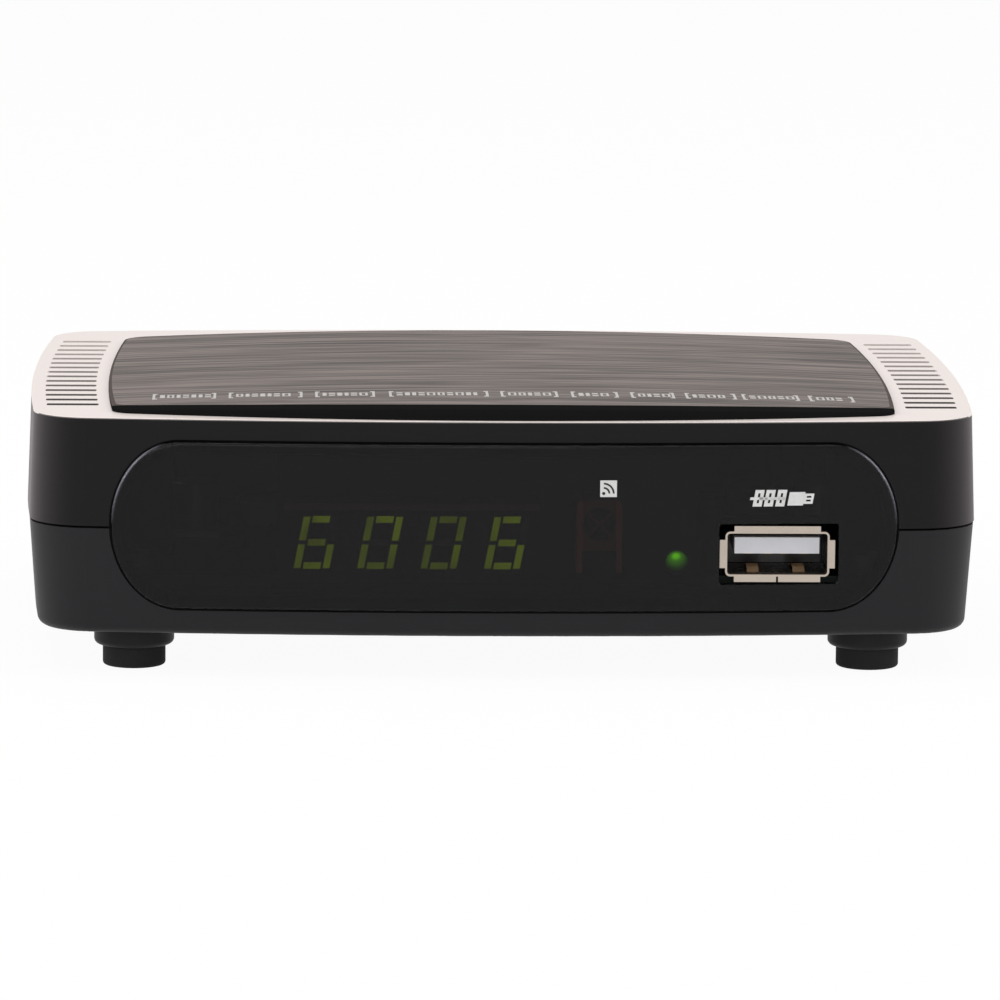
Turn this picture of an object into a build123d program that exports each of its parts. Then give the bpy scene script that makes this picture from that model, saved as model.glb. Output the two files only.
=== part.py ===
from build123d import *
from math import sqrt
import os

os.makedirs("parts", exist_ok=True)

# All sizes are in millimetres. X runs to the right of the front, Y to the back and Z up.
# The origin is on the desk, under the middle of the receiver with its rear sockets.
# A depth is measured backwards from the middle of the front face.

# One length by which every cut runs past what it cuts
overrun = 6.0

# Case halves
case_width = 122.5
case_depth = 89.8
case_end_bow = 3.4
case_side_bow = 1.75
front_corner_radius = 8.0
back_corner_radius = 7.0
lower_height = 13.6
upper_height = 13.7
upper_side_draft = 0.5
upper_end_draft = 0.3
lower_side_draft = 1.0
lower_end_draft = 0.4
wall = 2.2
floor_thickness = 2.0
deck_thickness = 2.2
bottom_edge_radius = 1.3
seam_gap = 0.3
seam_step = 0.1
lip_height = 1.0
lip_thickness = 1.2
lip_clearance = 0.1

# Feet
foot_edge_inset = 14.4
foot_inset_depth = 12.25
flange_diameter = 10.2
flange_height = 2.8
flange_round = 0.7
pad_diameter = 8.0
pad_height = 2.7
pad_round = 0.4
pad_spigot_diameter = 5.0
pad_spigot_length = 1.6
pad_clearance = 0.15

# Bosses and screws that hold the two halves together
boss_edge_inset = 15.25
boss_front_depth = 24.0
boss_back_inset = 31.8
boss_diameter = 7.6
boss_height = 9.7
screw_head_diameter = 5.0
screw_head_height = 1.8
screw_head_sink = 2.6
screw_shank_diameter = 2.8
screw_length = 14.0
screw_clearance = 0.2
screw_pilot_clearance = 0.05
screw_pilot_spare = 1.0
screw_recess_width = 2.8
screw_recess_depth = 1.0
screw_recess_blade = 0.7

# Bezel
bezel_lip = 0.2
bezel_plug = 0.9
bezel_plug_inset = 1.0
bezel_clearance = 0.1
bezel_edge_round = 0.15
slot_count = 15
slot_end_inset = 14.52
slot_length = 6.57
slot_width = 1.7
slot_round = 0.3
slot_edge_inset = 5.6
slot_bow = 0.95
slot_case_margin = 0.3

# Top plate
plate_edge_inset = 10.55
plate_side_bow = 1.3
plate_front_depth = 1.1
plate_back_inset = 12.6
plate_front_bow = 5.8
plate_back_bow = 0.6
plate_corner_radius = 3.0
plate_sink = 0.4
plate_overlap = 1.3
plate_edge_height = 0.43
plate_crown = 1.15
plate_edge_round = 0.2
plate_clearance = 0.15
sheet_thickness = 0.2
sheet_margin = 0.35
sheet_front_step = 3.1
peg_diameter = 3.0
peg_clearance = 0.15
peg_edge_inset = 12.7
peg_front_depth = 18.0
peg_back_inset = 23.8

# Front window
window_edge_inset = 11.7
window_height = 21.25
window_end = 8.6
window_rise = 14.0
window_thickness = 1.4
window_proud = 0.2
window_edge_round = 0.45
window_groove = 0.25
window_ledge = 1.5
tape_thickness = 0.2
tape_margin = 0.2

# Boards
standoff_height = 3.5
standoff_diameter = 6.0
board_thickness = 1.6
board_edge_inset = 9.25
board_front_depth = 6.0
board_back_gap = 0.5
board_corner_radius = 1.5
board_notch_margin = 1.5
board_boss_clearance = 0.5
board_screw_hole = 3.2
front_board_depth = 9.0
front_board_height = 14.6
front_board_end_gap = 0.6
header_pins = 12
header_pitch = 2.0
header_pin_width = 0.5
header_height = 2.4
header_depth = 2.2
header_margin = 0.6
header_pin_reach = 1.4

# Board screws
board_screw_edge_inset = 14.65
board_screw_front_depth = 14.0
board_screw_inner_inset = 31.25
board_screw_back_inset = 27.8
board_screw_head_diameter = 5.0
board_screw_head_height = 1.6
board_screw_diameter = 2.4
board_screw_length = 4.4

# Data port in the window
data_port_edge_inset = 15.25
data_port_width = 13.14
data_port_height = 5.72
data_port_corner = 0.64
data_port_axis = 3.6
data_port_length = 14.0
data_port_sheet = 0.25
data_port_sink = 0.1
data_port_lip = 0.7
data_port_top_lip_width = 10.9
data_port_side_lip_height = 3.6
data_port_bottom_lip_gap = 0.25
data_port_cut_margin_x = 0.3
data_port_cut_margin_z = 0.3
data_port_cut_shift = 0.2
data_port_cut_round = 0.3
data_port_tab_width = 1.6
data_port_tab_back = 4.0
data_tongue_width = 10.7
data_tongue_height = 2.05
data_tongue_length = 8.4
data_tongue_gap = 0.62
data_tongue_sink = 0.9
data_insulator_clearance = 0.05
data_contact_width = 1.0
data_contact_thickness = 0.25
data_contact_length = 7.0
data_contact_inner_x = 1.0
data_contact_outer_x = 3.5

# Display
display_to_receiver = 23.7
display_width = 32.2
display_height = 10.0
display_rise = 11.7
display_window_gap = 0.82
digit_count = 4
digit_pitch = 8.0
digit_span_x = 3.65
digit_span_z = 5.9
digit_slant_share = 0.195
segment_width = 0.87
segment_tall = 3.05
segment_tall_rise = 1.77
segment_flat = 2.2
segment_depth = 0.6
segment_sink = 0.1

# Status led and infrared receiver
led_to_data_port = 12.4
led_rise = 8.8
led_radius = 1.5
led_length = 4.2
led_flange_radius = 1.9
led_flange_thickness = 0.9
led_tip_depth = 3.9
lead_pitch = 1.27
lead_width = 0.5
receiver_to_led = 9.9
receiver_rise = 13.9
receiver_width = 4.7
receiver_height = 5.0
receiver_thickness = 2.6
receiver_lens_radius = 2.1
receiver_lens_reach = 1.2
receiver_lens_round = 1.0
receiver_back_gap = 0.2
cage_width = 5.7
cage_height = 9.3
cage_rise = 12.35
cage_front_depth = 4.2
cage_sheet = 0.4
cage_corner = 0.8
cage_opening_radius = 2.1
cage_cross = 0.35
cage_leg = 0.7
cage_leg_height = 2.8

# Rear panel and its opening
panel_recess = 4.4
panel_thickness = 1.6
panel_overlap = 1.4
panel_opening_inset = 9.75
panel_opening_low = 4.3
panel_opening_high = 23.1
panel_opening_round = 1.0
panel_gap = 0.15
socket_axis = 6.5
socket_hole_gap = 0.15

# Phono sockets
phono_pitch = 12.0
phono_barrel_diameter = 8.3
phono_barrel_sheet = 0.4
phono_root_diameter = 8.8
phono_reach = 8.5
phono_collar_diameter = 10.4
phono_collar_reach = 0.8
phono_collar_clearance = 0.05
phono_core_sink = 0.6
phono_contact_bore = 3.2
phono_contact_sheet = 0.25
phono_contact_sink = 1.2
phono_contact_length = 6.0
phono_block_margin = 0.1
phono_block_height = 12.6
phono_block_length = 11.5

# Antenna sockets and tuner
antenna_pitch = 14.4
antenna_reach = 8.0
antenna_disc_thickness = 3.4
antenna_root_ring = 0.6
antenna_in_diameter = 11.0
antenna_in_bore = 9.6
antenna_in_contact_diameter = 3.6
antenna_in_contact_bore = 2.45
antenna_in_contact_sink = 1.0
loop_out_diameter = 9.5
loop_out_bore = 8.4
loop_out_pin_diameter = 2.4
loop_out_pin_sink = 0.4
tuner_width = 26.4
tuner_length = 15.5
tuner_height = 13.0
tuner_sheet = 0.5
tuner_lid_skirt = 2.0
tuner_lid_gap = 0.05
tuner_board_rise = 5.0
tuner_board_thickness = 0.8

# Video port
video_port_axis = 3.6
video_port_width = 15.0
video_port_height = 5.9
video_port_chamfer = 1.7
video_port_sheet = 0.35
video_port_length = 11.5
video_port_reach = 0.5
video_port_tab_width = 1.6
video_port_tab_back = 4.0
video_tongue_width = 11.6
video_tongue_height = 1.1
video_tongue_sink = 0.8
video_back_length = 3.6
video_contact_pitch = 1.0
video_contact_width = 0.45
video_contact_thickness = 0.1
video_contact_length = 5.0
video_contacts_above = 10
video_contacts_below = 9

# Power jack
power_jack_width = 9.0
power_jack_height = 11.0
power_jack_length = 13.5
power_jack_nose_diameter = 8.4
power_jack_bore = 5.6
power_jack_bore_depth = 9.5
power_jack_pin_diameter = 2.0
power_jack_pin_sink = 0.8
power_jack_reach = 0.4

# Chips and other parts on the main board
main_chip_size = 20.0
main_chip_height = 1.4
heatsink_size = 24.0
heatsink_base = 1.6
heatsink_fin_height = 5.4
heatsink_fins = 8
heatsink_fin_thickness = 1.0
memory_chip_width = 10.0
memory_chip_length = 13.0
memory_chip_height = 1.1
flash_chip_width = 5.2
flash_chip_length = 5.2
flash_chip_height = 1.8
regulator_width = 3.0
regulator_length = 4.6
regulator_height = 1.5
crystal_width = 11.0
crystal_length = 4.6
crystal_height = 3.6
inductor_size = 7.0
inductor_height = 3.6
inductor_round = 1.4
capacitor_diameter = 6.3
capacitor_height = 6.4
capacitor_base = 6.6
capacitor_base_height = 0.8
capacitor_round = 0.4
ceramic_width = 2.0
ceramic_length = 1.25
ceramic_height = 0.9

# Places on the main board, as shares of half its width and of its depth
main_chip_share = (-0.08, 0.47)
memory_chip_share = (0.36, 0.42)
flash_chip_share = (-0.52, 0.34)
crystal_share = (-0.54, 0.52)
regulator_shares = [(0.16, 0.76), (0.32, 0.76), (-0.66, 0.30)]
inductor_shares = [(0.63, 0.50), (0.46, 0.62)]
capacitor_shares = [(0.82, 0.45), (0.64, 0.25), (0.64, 0.38), (-0.76, 0.42), (-0.3, 0.72), (0.02, 0.74)]
ceramic_shares = [
    (-0.36, 0.36),
    (-0.36, 0.44),
    (-0.36, 0.58),
    (0.2, 0.3),
    (0.26, 0.6),
    (0.18, 0.64),
    (-0.1, 0.28),
    (0.02, 0.28),
    (-0.7, 0.5),
    (0.5, 0.3),
]

# Vents and label on the underside
floor_slot_count = 9
floor_slot_length = 16.0
floor_slot_width = 1.8
floor_slot_x = 22.0
floor_slot_front_inset = 7.6
floor_slot_label_gap = 4.2
label_width = 52.0
label_length = 26.0
label_back_inset = 27.8
label_sink = 0.25
label_thickness = 0.15
label_round = 1.5
label_margin = 0.4

# Heights and depths that follow from the sizes above
case_bottom = flange_height + pad_height
seam = case_bottom + lower_height
deck_top = seam + upper_height
bezel_top = deck_top + bezel_lip
floor_top = case_bottom + floor_thickness
ceiling = deck_top - deck_thickness
boss_top = floor_top + boss_height
board_bottom = floor_top + standoff_height
board_top = board_bottom + board_thickness
panel_depth = case_depth - panel_recess
front_y = -(panel_depth + phono_reach - window_proud) / 2
back_y = front_y + case_depth
corner_x = case_width / 2 - case_side_bow
panel_inner_depth = panel_depth - panel_thickness
panel_opening_width = case_width - 2 * panel_opening_inset
panel_width = panel_opening_width + 2 * panel_overlap
foot_x = case_width / 2 - foot_edge_inset
boss_x = case_width / 2 - boss_edge_inset
boss_back_depth = case_depth - boss_back_inset
slot_x = case_width / 2 - slot_edge_inset
slot_pitch = (case_depth - 2 * slot_end_inset) / (slot_count - 1)
plate_half_width = case_width / 2 - plate_edge_inset
plate_back_depth = case_depth - plate_back_inset
peg_x = plate_half_width - peg_edge_inset
peg_back_depth = case_depth - peg_back_inset
window_length = case_width - 2 * window_edge_inset
board_width = case_width - 2 * board_edge_inset
board_screw_x = case_width / 2 - board_screw_edge_inset
board_screw_inner_x = case_width / 2 - board_screw_inner_inset
board_screw_back_depth = case_depth - board_screw_back_inset
label_depth = case_depth - label_back_inset
label_front_depth = label_depth - label_length / 2 - label_margin
floor_slot_last_depth = label_front_depth - floor_slot_label_gap
floor_slot_pitch = (floor_slot_last_depth - floor_slot_front_inset) / (floor_slot_count - 1)
floor_slot_depth = (floor_slot_last_depth + floor_slot_front_inset) / 2
board_length = panel_inner_depth - board_back_gap - board_front_depth
cavity_side_inset = lower_side_draft + wall
cavity_end_inset = lower_end_draft + wall
window_z = case_bottom + window_rise
window_back = window_thickness - window_proud
window_recess = window_back + tape_thickness
socket_z = board_top + socket_axis
data_port_z = board_top + data_port_axis
video_port_z = board_top + video_port_axis
display_z = case_bottom + display_rise
led_z = case_bottom + led_rise
receiver_z = case_bottom + receiver_rise
cage_z = case_bottom + cage_rise
data_port_x = window_length / 2 - data_port_edge_inset
led_x = data_port_x - led_to_data_port
receiver_x = led_x - receiver_to_led
display_x = receiver_x - display_to_receiver
board_notch_left = display_x - display_width / 2 - board_notch_margin
board_notch_right = led_x + led_flange_radius + board_notch_margin
antenna_in_root_diameter = antenna_in_diameter + 2 * antenna_root_ring
loop_out_root_diameter = loop_out_diameter + 2 * antenna_root_ring

# The sockets stand in a row with equal gaps between them, from the tuner to the power jack
phono_block_width = 2 * (phono_pitch + phono_block_margin) + phono_collar_diameter
socket_widths = [tuner_width, video_port_width, phono_block_width, power_jack_width]
socket_gap = (panel_width - sum(socket_widths)) / (len(socket_widths) + 1)
socket_centres = [
    -panel_width / 2 + (index + 1) * socket_gap + sum(socket_widths[:index]) + width / 2
    for index, width in enumerate(socket_widths)
]
tuner_x, video_port_x, phono_x, power_jack_x = socket_centres
antenna_in_x = tuner_x - antenna_pitch / 2
loop_out_x = tuner_x + antenna_pitch / 2


def at(x, depth):
    """Place in plan, measured from the middle of the front face."""
    return (x, front_y + depth)


def four_places(x, front_depth, back_depth):
    """Two places on each side of the case."""
    return [at(side * x, depth) for side in (-1, 1) for depth in (front_depth, back_depth)]


def on_board(share):
    """Place on the main board from its share of half the width and of the depth."""
    return at(share[0] * board_width / 2, board_front_depth + share[1] * board_length)


foot_places = four_places(foot_x, foot_inset_depth, case_depth - foot_inset_depth)
boss_places = four_places(boss_x, boss_front_depth, boss_back_depth)
peg_places = four_places(peg_x, peg_front_depth, peg_back_depth)
board_screw_places = [
    at(side * x, depth)
    for side in (-1, 1)
    for x, depth in (
        (board_screw_x, board_screw_front_depth),
        (board_screw_inner_x, board_screw_back_depth),
    )
]
phono_centres = [(phono_x + step * phono_pitch, socket_z) for step in (-1, 0, 1)]


def level(height):
    """Flat sketching plane at a height above the desk."""
    return Plane.XY.offset(height)


def upright(depth, height=0.0):
    """Upright sketching plane that faces the front, at a depth behind the front face."""
    return Plane(origin=(0, front_y + depth, height), x_dir=(1, 0, 0), z_dir=(0, -1, 0))


def front_fall(x):
    """How far the front face has fallen back at a distance x from its middle."""
    radius = (corner_x**2 + case_end_bow**2) / (2 * case_end_bow)
    return radius - sqrt(radius**2 - x**2)


def bowed_outline(side, near, far, side_bow, near_bow, far_bow):
    """Rectangle in plan with all four edges bowed outwards and sharp corners."""
    end_x = side - side_bow
    end_near = near + near_bow
    end_far = far - far_bow
    centre = (near + far) / 2
    with BuildSketch() as outline:
        with BuildLine():
            ThreePointArc((-end_x, end_near), (0, near), (end_x, end_near))
            ThreePointArc((end_x, end_near), (side, centre), (end_x, end_far))
            ThreePointArc((end_x, end_far), (0, far), (-end_x, end_far))
            ThreePointArc((-end_x, end_far), (-side, centre), (-end_x, end_near))
        make_face()
    return outline.sketch


def case_outline(side_inset, end_inset):
    """Outline of the case in plan, moved inwards by the two insets."""
    side = case_width / 2 - side_inset
    near = front_y + end_inset
    far = back_y - end_inset
    with BuildSketch() as outline:
        add(bowed_outline(side, near, far, case_side_bow, case_end_bow, case_end_bow))
        fillet(outline.vertices().group_by(Axis.Y)[0], front_corner_radius - end_inset)
        fillet(outline.vertices().group_by(Axis.Y)[-1], back_corner_radius - end_inset)
    return outline.sketch


def cavity_outline():
    """Space inside the case in plan, with a flat back and a pocket for the rear panel."""
    with BuildSketch() as outline:
        add(case_outline(cavity_side_inset, cavity_end_inset))
        with Locations(at(0, panel_inner_depth)):
            Rectangle(
                case_width, case_depth, align=(Align.CENTER, Align.MIN), mode=Mode.SUBTRACT
            )
            Rectangle(
                panel_width + 2 * panel_gap, panel_thickness, align=(Align.CENTER, Align.MIN)
            )
    return outline.sketch


def plate_outline(grow, front_step=0):
    """Outline of the top plate in plan, moved outwards by grow, its front edge back by a step."""
    near = front_y + plate_front_depth + front_step - grow
    far = front_y + plate_back_depth + grow
    side = plate_half_width + grow
    with BuildSketch() as outline:
        add(bowed_outline(side, near, far, plate_side_bow, plate_front_bow, plate_back_bow))
        fillet(outline.vertices(), plate_corner_radius + grow)
    return outline.sketch


def crown_section(sink):
    """Upright section of the plate from its flat underside to its crown, lowered by sink."""
    low = bezel_top - plate_sink
    edge = bezel_top + plate_edge_height - sink
    half = plate_half_width
    with BuildSketch() as section:
        with BuildLine():
            ThreePointArc((-half, edge), (0, edge + plate_crown), (half, edge))
            Polyline((half, edge), (half, low), (-half, low), (-half, edge))
        make_face()
    return section.sketch


def window_outline(grow):
    """Outline of the window: straight long edges and elliptical ends."""
    end = window_end + grow
    straight = window_length / 2 + grow - end
    half_height = window_height / 2 + grow
    with BuildSketch() as outline:
        with BuildLine():
            Line((-straight, half_height), (straight, half_height))
            EllipticalCenterArc((straight, 0), end, half_height, start_angle=-90, arc_size=180)
            Line((straight, -half_height), (-straight, -half_height))
            EllipticalCenterArc((-straight, 0), end, half_height, start_angle=90, arc_size=180)
        make_face()
    return outline.sketch


def front_band(near_depth, far_depth):
    """Flat strip that follows the bowed front face between two depths behind it."""
    near = front_y + near_depth
    far = front_y + far_depth
    end_near = near + case_end_bow
    end_far = far + case_end_bow
    with BuildSketch() as band:
        with BuildLine():
            ThreePointArc((-corner_x, end_near), (0, near), (corner_x, end_near))
            Line((corner_x, end_near), (corner_x, end_far))
            ThreePointArc((corner_x, end_far), (0, far), (-corner_x, end_far))
            Line((-corner_x, end_far), (-corner_x, end_near))
        make_face()
    return band.sketch


def window_slab(near_depth, far_depth, grow):
    """Curved slab with the outline of the window, moved outwards by grow."""
    with BuildPart() as slab:
        with BuildSketch(level(window_z)):
            add(front_band(near_depth, far_depth))
        extrude(amount=window_height, both=True)
        with BuildSketch(upright(0, window_z)):
            add(window_outline(grow))
        extrude(amount=window_height, both=True, mode=Mode.INTERSECT)
    return slab.part


def vent_slots(margin):
    """All the vent slots in plan, each larger by margin on every side."""
    middle = (slot_count - 1) / 2
    places = []
    for side in (-1, 1):
        for index in range(slot_count):
            x = slot_x - slot_bow * (index / middle - 1) ** 2
            places.append(at(side * x, slot_end_inset + index * slot_pitch))
    with BuildSketch() as slots:
        with Locations(*places):
            RectangleRounded(slot_length + 2 * margin, slot_width + 2 * margin, slot_round)
    return slots.sketch


def panel_opening():
    """Opening in the back of the case, behind which the rear panel stands."""
    height = panel_opening_high - panel_opening_low
    with BuildSketch() as opening:
        with Locations((0, case_bottom + panel_opening_low + height / 2)):
            RectangleRounded(panel_opening_width, height, panel_opening_round)
    return opening.sketch


def data_port_outline(shrink):
    """Rounded mouth of the data port, moved inwards by shrink."""
    with BuildSketch() as outline:
        with Locations((data_port_x, data_port_z)):
            RectangleRounded(
                data_port_width - 2 * shrink,
                data_port_height - 2 * shrink,
                data_port_corner - shrink,
            )
    return outline.sketch


def video_port_outline(shrink):
    """Mouth of the video port, its two lower corners cut, moved inwards by shrink."""
    right = video_port_x + video_port_width / 2 - shrink
    left = video_port_x - video_port_width / 2 + shrink
    top = video_port_z + video_port_height / 2 - shrink
    bottom = video_port_z - video_port_height / 2 + shrink
    cut = video_port_chamfer
    with BuildSketch() as outline:
        with BuildLine():
            Polyline(
                (left, top),
                (right, top),
                (right, bottom + cut),
                (right - cut, bottom),
                (left + cut, bottom),
                (left, bottom + cut),
                close=True,
            )
        make_face()
    return outline.sketch


def segment_bar(x, z, long_side, tall):
    """One slanted bar of a digit, around a place in the display's own face."""
    half_x = segment_width / 2 if tall else long_side / 2
    half_z = long_side / 2 if tall else segment_width / 2
    corners = [(x - half_x, z - half_z), (x + half_x, z - half_z)]
    corners += [(x + half_x, z + half_z), (x - half_x, z + half_z)]
    return [(px + digit_slant_share * pz, pz) for px, pz in corners]


def digit_segments():
    """The seven bars of every digit on the display's face."""
    bars = [(0, step * digit_span_z / 2, segment_flat, False) for step in (-1, 0, 1)]
    bars += [
        (side * digit_span_x / 2, part * segment_tall_rise, segment_tall, True)
        for side in (-1, 1)
        for part in (-1, 1)
    ]
    first = -(digit_count - 1) / 2 * digit_pitch
    with BuildSketch() as segments:
        for digit in range(digit_count):
            with Locations((display_x + first + digit * digit_pitch, display_z)):
                for bar in bars:
                    Polygon(*segment_bar(*bar), align=None)
    return segments.sketch


def tube_outline(outer_diameter, inner_diameter):
    """Ring around the middle of the sketch."""
    with BuildSketch() as ring:
        Circle(outer_diameter / 2)
        Circle(inner_diameter / 2, mode=Mode.SUBTRACT)
    return ring.sketch


def save(builder, name):
    """Label a finished piece and write it to its own file."""
    builder.part.label = name
    export_step(builder.part, "parts/" + name + ".step")


# Tool bodies: the window's recess, the view through behind it and the bed of the brushed sheet
window_recess_tool = window_slab(-overrun, window_recess, window_groove)
window_view_tool = window_slab(-overrun, cavity_end_inset + overrun, -window_ledge)

with BuildPart() as sheet_bed_tool:
    with BuildSketch(level(bezel_top)):
        add(plate_outline(-sheet_margin, sheet_front_step))
    extrude(amount=plate_edge_height + plate_crown + overrun)
    with BuildSketch(upright(0)):
        add(crown_section(sheet_thickness))
    extrude(amount=-case_depth, mode=Mode.SUBTRACT)

with BuildPart() as panel_opening_tool:
    with BuildSketch(upright(panel_depth)):
        add(panel_opening())
    extrude(amount=-(panel_recess + overrun))


# Lower case: a tapered tray with its bosses, standoffs and foot flanges
with BuildPart() as lower_case:
    with BuildSketch(level(case_bottom)):
        add(case_outline(lower_side_draft, lower_end_draft))
    with BuildSketch(level(seam - seam_gap / 2)):
        add(case_outline(seam_step, seam_step))
    loft(ruled=True)
    fillet(faces().sort_by(Axis.Z)[0].edges(), bottom_edge_radius)
    with BuildSketch(level(seam - seam_gap / 2)):
        add(case_outline(cavity_side_inset - lip_thickness, cavity_end_inset - lip_thickness))
    extrude(amount=seam_gap / 2 + lip_height)
    with BuildSketch(level(floor_top)):
        add(cavity_outline())
    extrude(amount=lower_height + lip_height, mode=Mode.SUBTRACT)

    # Bosses for the case screws and standoffs for the board
    with BuildSketch(level(floor_top)):
        with Locations(*boss_places):
            Circle(boss_diameter / 2)
    extrude(amount=boss_height)
    with BuildSketch(level(floor_top)):
        with Locations(*board_screw_places):
            Circle(standoff_diameter / 2)
    extrude(amount=standoff_height)

    # Foot flanges, rounded under their rims, each with a blind hole for the pad's spigot
    with BuildSketch(level(pad_height)):
        with Locations(*foot_places):
            Circle(flange_diameter / 2)
    extrude(amount=flange_height)
    fillet(edges().group_by(Axis.Z)[0], flange_round)
    with BuildSketch(level(pad_height)):
        with Locations(*foot_places):
            Circle(pad_spigot_diameter / 2 + pad_clearance)
    extrude(amount=pad_spigot_length + pad_clearance, mode=Mode.SUBTRACT)

    # Screw holes from below and pilot holes in the standoffs
    with BuildSketch(level(case_bottom)):
        with Locations(*boss_places):
            Circle(screw_head_diameter / 2 + screw_clearance)
    extrude(amount=screw_head_sink, mode=Mode.SUBTRACT)
    with BuildSketch(level(case_bottom)):
        with Locations(*boss_places):
            Circle(screw_shank_diameter / 2 + screw_clearance)
    extrude(amount=floor_thickness + boss_height, mode=Mode.SUBTRACT)
    with BuildSketch(level(floor_top)):
        with Locations(*board_screw_places):
            Circle(board_screw_diameter / 2 + screw_pilot_clearance)
    extrude(amount=standoff_height, mode=Mode.SUBTRACT)

    # Vents and label recess in the underside
    with BuildSketch(level(case_bottom)):
        with Locations(at(-floor_slot_x, floor_slot_depth), at(floor_slot_x, floor_slot_depth)):
            with GridLocations(0, floor_slot_pitch, 1, floor_slot_count):
                SlotOverall(floor_slot_length, floor_slot_width)
    extrude(amount=floor_thickness, mode=Mode.SUBTRACT)
    with BuildSketch(level(case_bottom)):
        with Locations(at(0, label_depth)):
            RectangleRounded(
                label_width + 2 * label_margin, label_length + 2 * label_margin, label_round
            )
    extrude(amount=label_sink, mode=Mode.SUBTRACT)

    add(window_recess_tool, mode=Mode.SUBTRACT)
    add(window_view_tool, mode=Mode.SUBTRACT)
    add(panel_opening_tool.part, mode=Mode.SUBTRACT)
save(lower_case, "lower_case")


# Upper case: a shell with a vented deck and four posts that meet the bosses
with BuildPart() as upper_case:
    with BuildSketch(level(seam + seam_gap / 2)):
        add(case_outline(0, 0))
    with BuildSketch(level(deck_top)):
        add(case_outline(upper_side_draft, upper_end_draft))
    loft(ruled=True)
    with BuildSketch(level(seam)):
        add(cavity_outline())
    extrude(amount=ceiling - seam, mode=Mode.SUBTRACT)
    with BuildSketch(level(seam)):
        rebate_clearance = lip_thickness + lip_clearance
        add(case_outline(cavity_side_inset - rebate_clearance, cavity_end_inset - rebate_clearance))
    extrude(amount=lip_height, mode=Mode.SUBTRACT)
    with BuildSketch(level(deck_top)):
        add(case_outline(upper_side_draft + bezel_plug_inset, upper_end_draft + bezel_plug_inset))
    extrude(amount=-bezel_plug, mode=Mode.SUBTRACT)
    with BuildSketch(level(boss_top)):
        with Locations(*boss_places):
            Circle(boss_diameter / 2)
    extrude(amount=ceiling - boss_top)
    with BuildSketch(level(boss_top)):
        with Locations(*boss_places):
            Circle(screw_shank_diameter / 2 + screw_pilot_clearance)
    screw_end = case_bottom + screw_head_sink + screw_length
    extrude(amount=screw_end + screw_pilot_spare - boss_top, mode=Mode.SUBTRACT)
    with BuildSketch(level(ceiling)):
        add(vent_slots(slot_case_margin))
        with Locations(*peg_places):
            Circle(peg_diameter / 2 + peg_clearance)
    extrude(amount=deck_thickness, mode=Mode.SUBTRACT)
    add(window_recess_tool, mode=Mode.SUBTRACT)
    add(window_view_tool, mode=Mode.SUBTRACT)
    add(panel_opening_tool.part, mode=Mode.SUBTRACT)
save(upper_case, "upper_case")


# Bezel: a thin lip over the case's rim, a plug inside it, the vent slots and the plate's bed
with BuildPart() as top_bezel:
    with BuildSketch(level(deck_top)):
        add(case_outline(upper_side_draft, upper_end_draft))
    extrude(amount=bezel_lip)
    fillet(edges().group_by(Axis.Z)[-1], bezel_edge_round)
    with BuildSketch(level(deck_top)):
        plug_inset = bezel_plug_inset + bezel_clearance
        add(case_outline(upper_side_draft + plug_inset, upper_end_draft + plug_inset))
    extrude(amount=-bezel_plug)
    with BuildSketch(level(bezel_top)):
        add(plate_outline(plate_clearance - plate_overlap))
    extrude(amount=-plate_sink, mode=Mode.SUBTRACT)
    with BuildSketch(level(bezel_top)):
        add(vent_slots(0))
        with Locations(*peg_places):
            Circle(peg_diameter / 2 + peg_clearance)
    extrude(amount=-(bezel_lip + bezel_plug), mode=Mode.SUBTRACT)
save(top_bezel, "top_bezel")


# Top plate: crowned carrier that overlaps its bed in the bezel, with four pegs below
with BuildPart() as top_plate:
    with BuildSketch(level(bezel_top)):
        add(plate_outline(0))
    extrude(amount=plate_edge_height + plate_crown)
    with BuildSketch(level(bezel_top)):
        add(plate_outline(-plate_overlap))
    extrude(amount=-plate_sink)
    with BuildSketch(upright(0)):
        add(crown_section(0))
    extrude(amount=-case_depth, mode=Mode.INTERSECT)
    fillet(faces().sort_by(Axis.Z)[-1].edges(), plate_edge_round)
    add(sheet_bed_tool.part, mode=Mode.SUBTRACT)
    with BuildSketch(level(bezel_top - plate_sink)):
        with Locations(*peg_places):
            Circle(peg_diameter / 2)
    extrude(amount=-(bezel_top - plate_sink - ceiling))
save(top_plate, "top_plate")


# Brushed sheet: lies in its bed on the crown
with BuildPart() as brushed_sheet:
    add(sheet_bed_tool.part)
    with BuildSketch(upright(0)):
        add(crown_section(0))
    extrude(amount=-case_depth, mode=Mode.INTERSECT)
save(brushed_sheet, "brushed_sheet")


# Front window with its rounded rim and the cut-out for the data port
with BuildPart() as front_window:
    add(window_slab(-window_proud, window_back, 0))
    fillet(faces().sort_by(Axis.Y)[0].edges(), window_edge_round)
    with BuildSketch(upright(0)):
        with Locations((data_port_x + data_port_cut_shift, data_port_z)):
            RectangleRounded(
                data_port_width + 2 * (data_port_lip + data_port_cut_margin_x),
                data_port_height + 2 * (data_port_lip + data_port_cut_margin_z),
                data_port_cut_round,
            )
    extrude(amount=case_end_bow + overrun, both=True, mode=Mode.SUBTRACT)
save(front_window, "front_window")


# Foam tape between the window and its ledge
with BuildPart() as window_tape:
    add(window_slab(window_back, window_recess, -tape_margin))
    add(window_view_tool, mode=Mode.SUBTRACT)
save(window_tape, "window_tape")


# Rubber pads under the four flanges
with BuildPart() as rubber_feet:
    with BuildSketch(level(0)):
        with Locations(*foot_places):
            Circle(pad_diameter / 2)
    extrude(amount=pad_height)
    fillet(edges().group_by(Axis.Z)[0], pad_round)
    with BuildSketch(level(pad_height)):
        with Locations(*foot_places):
            Circle(pad_spigot_diameter / 2)
    extrude(amount=pad_spigot_length)
save(rubber_feet, "rubber_feet")


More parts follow.
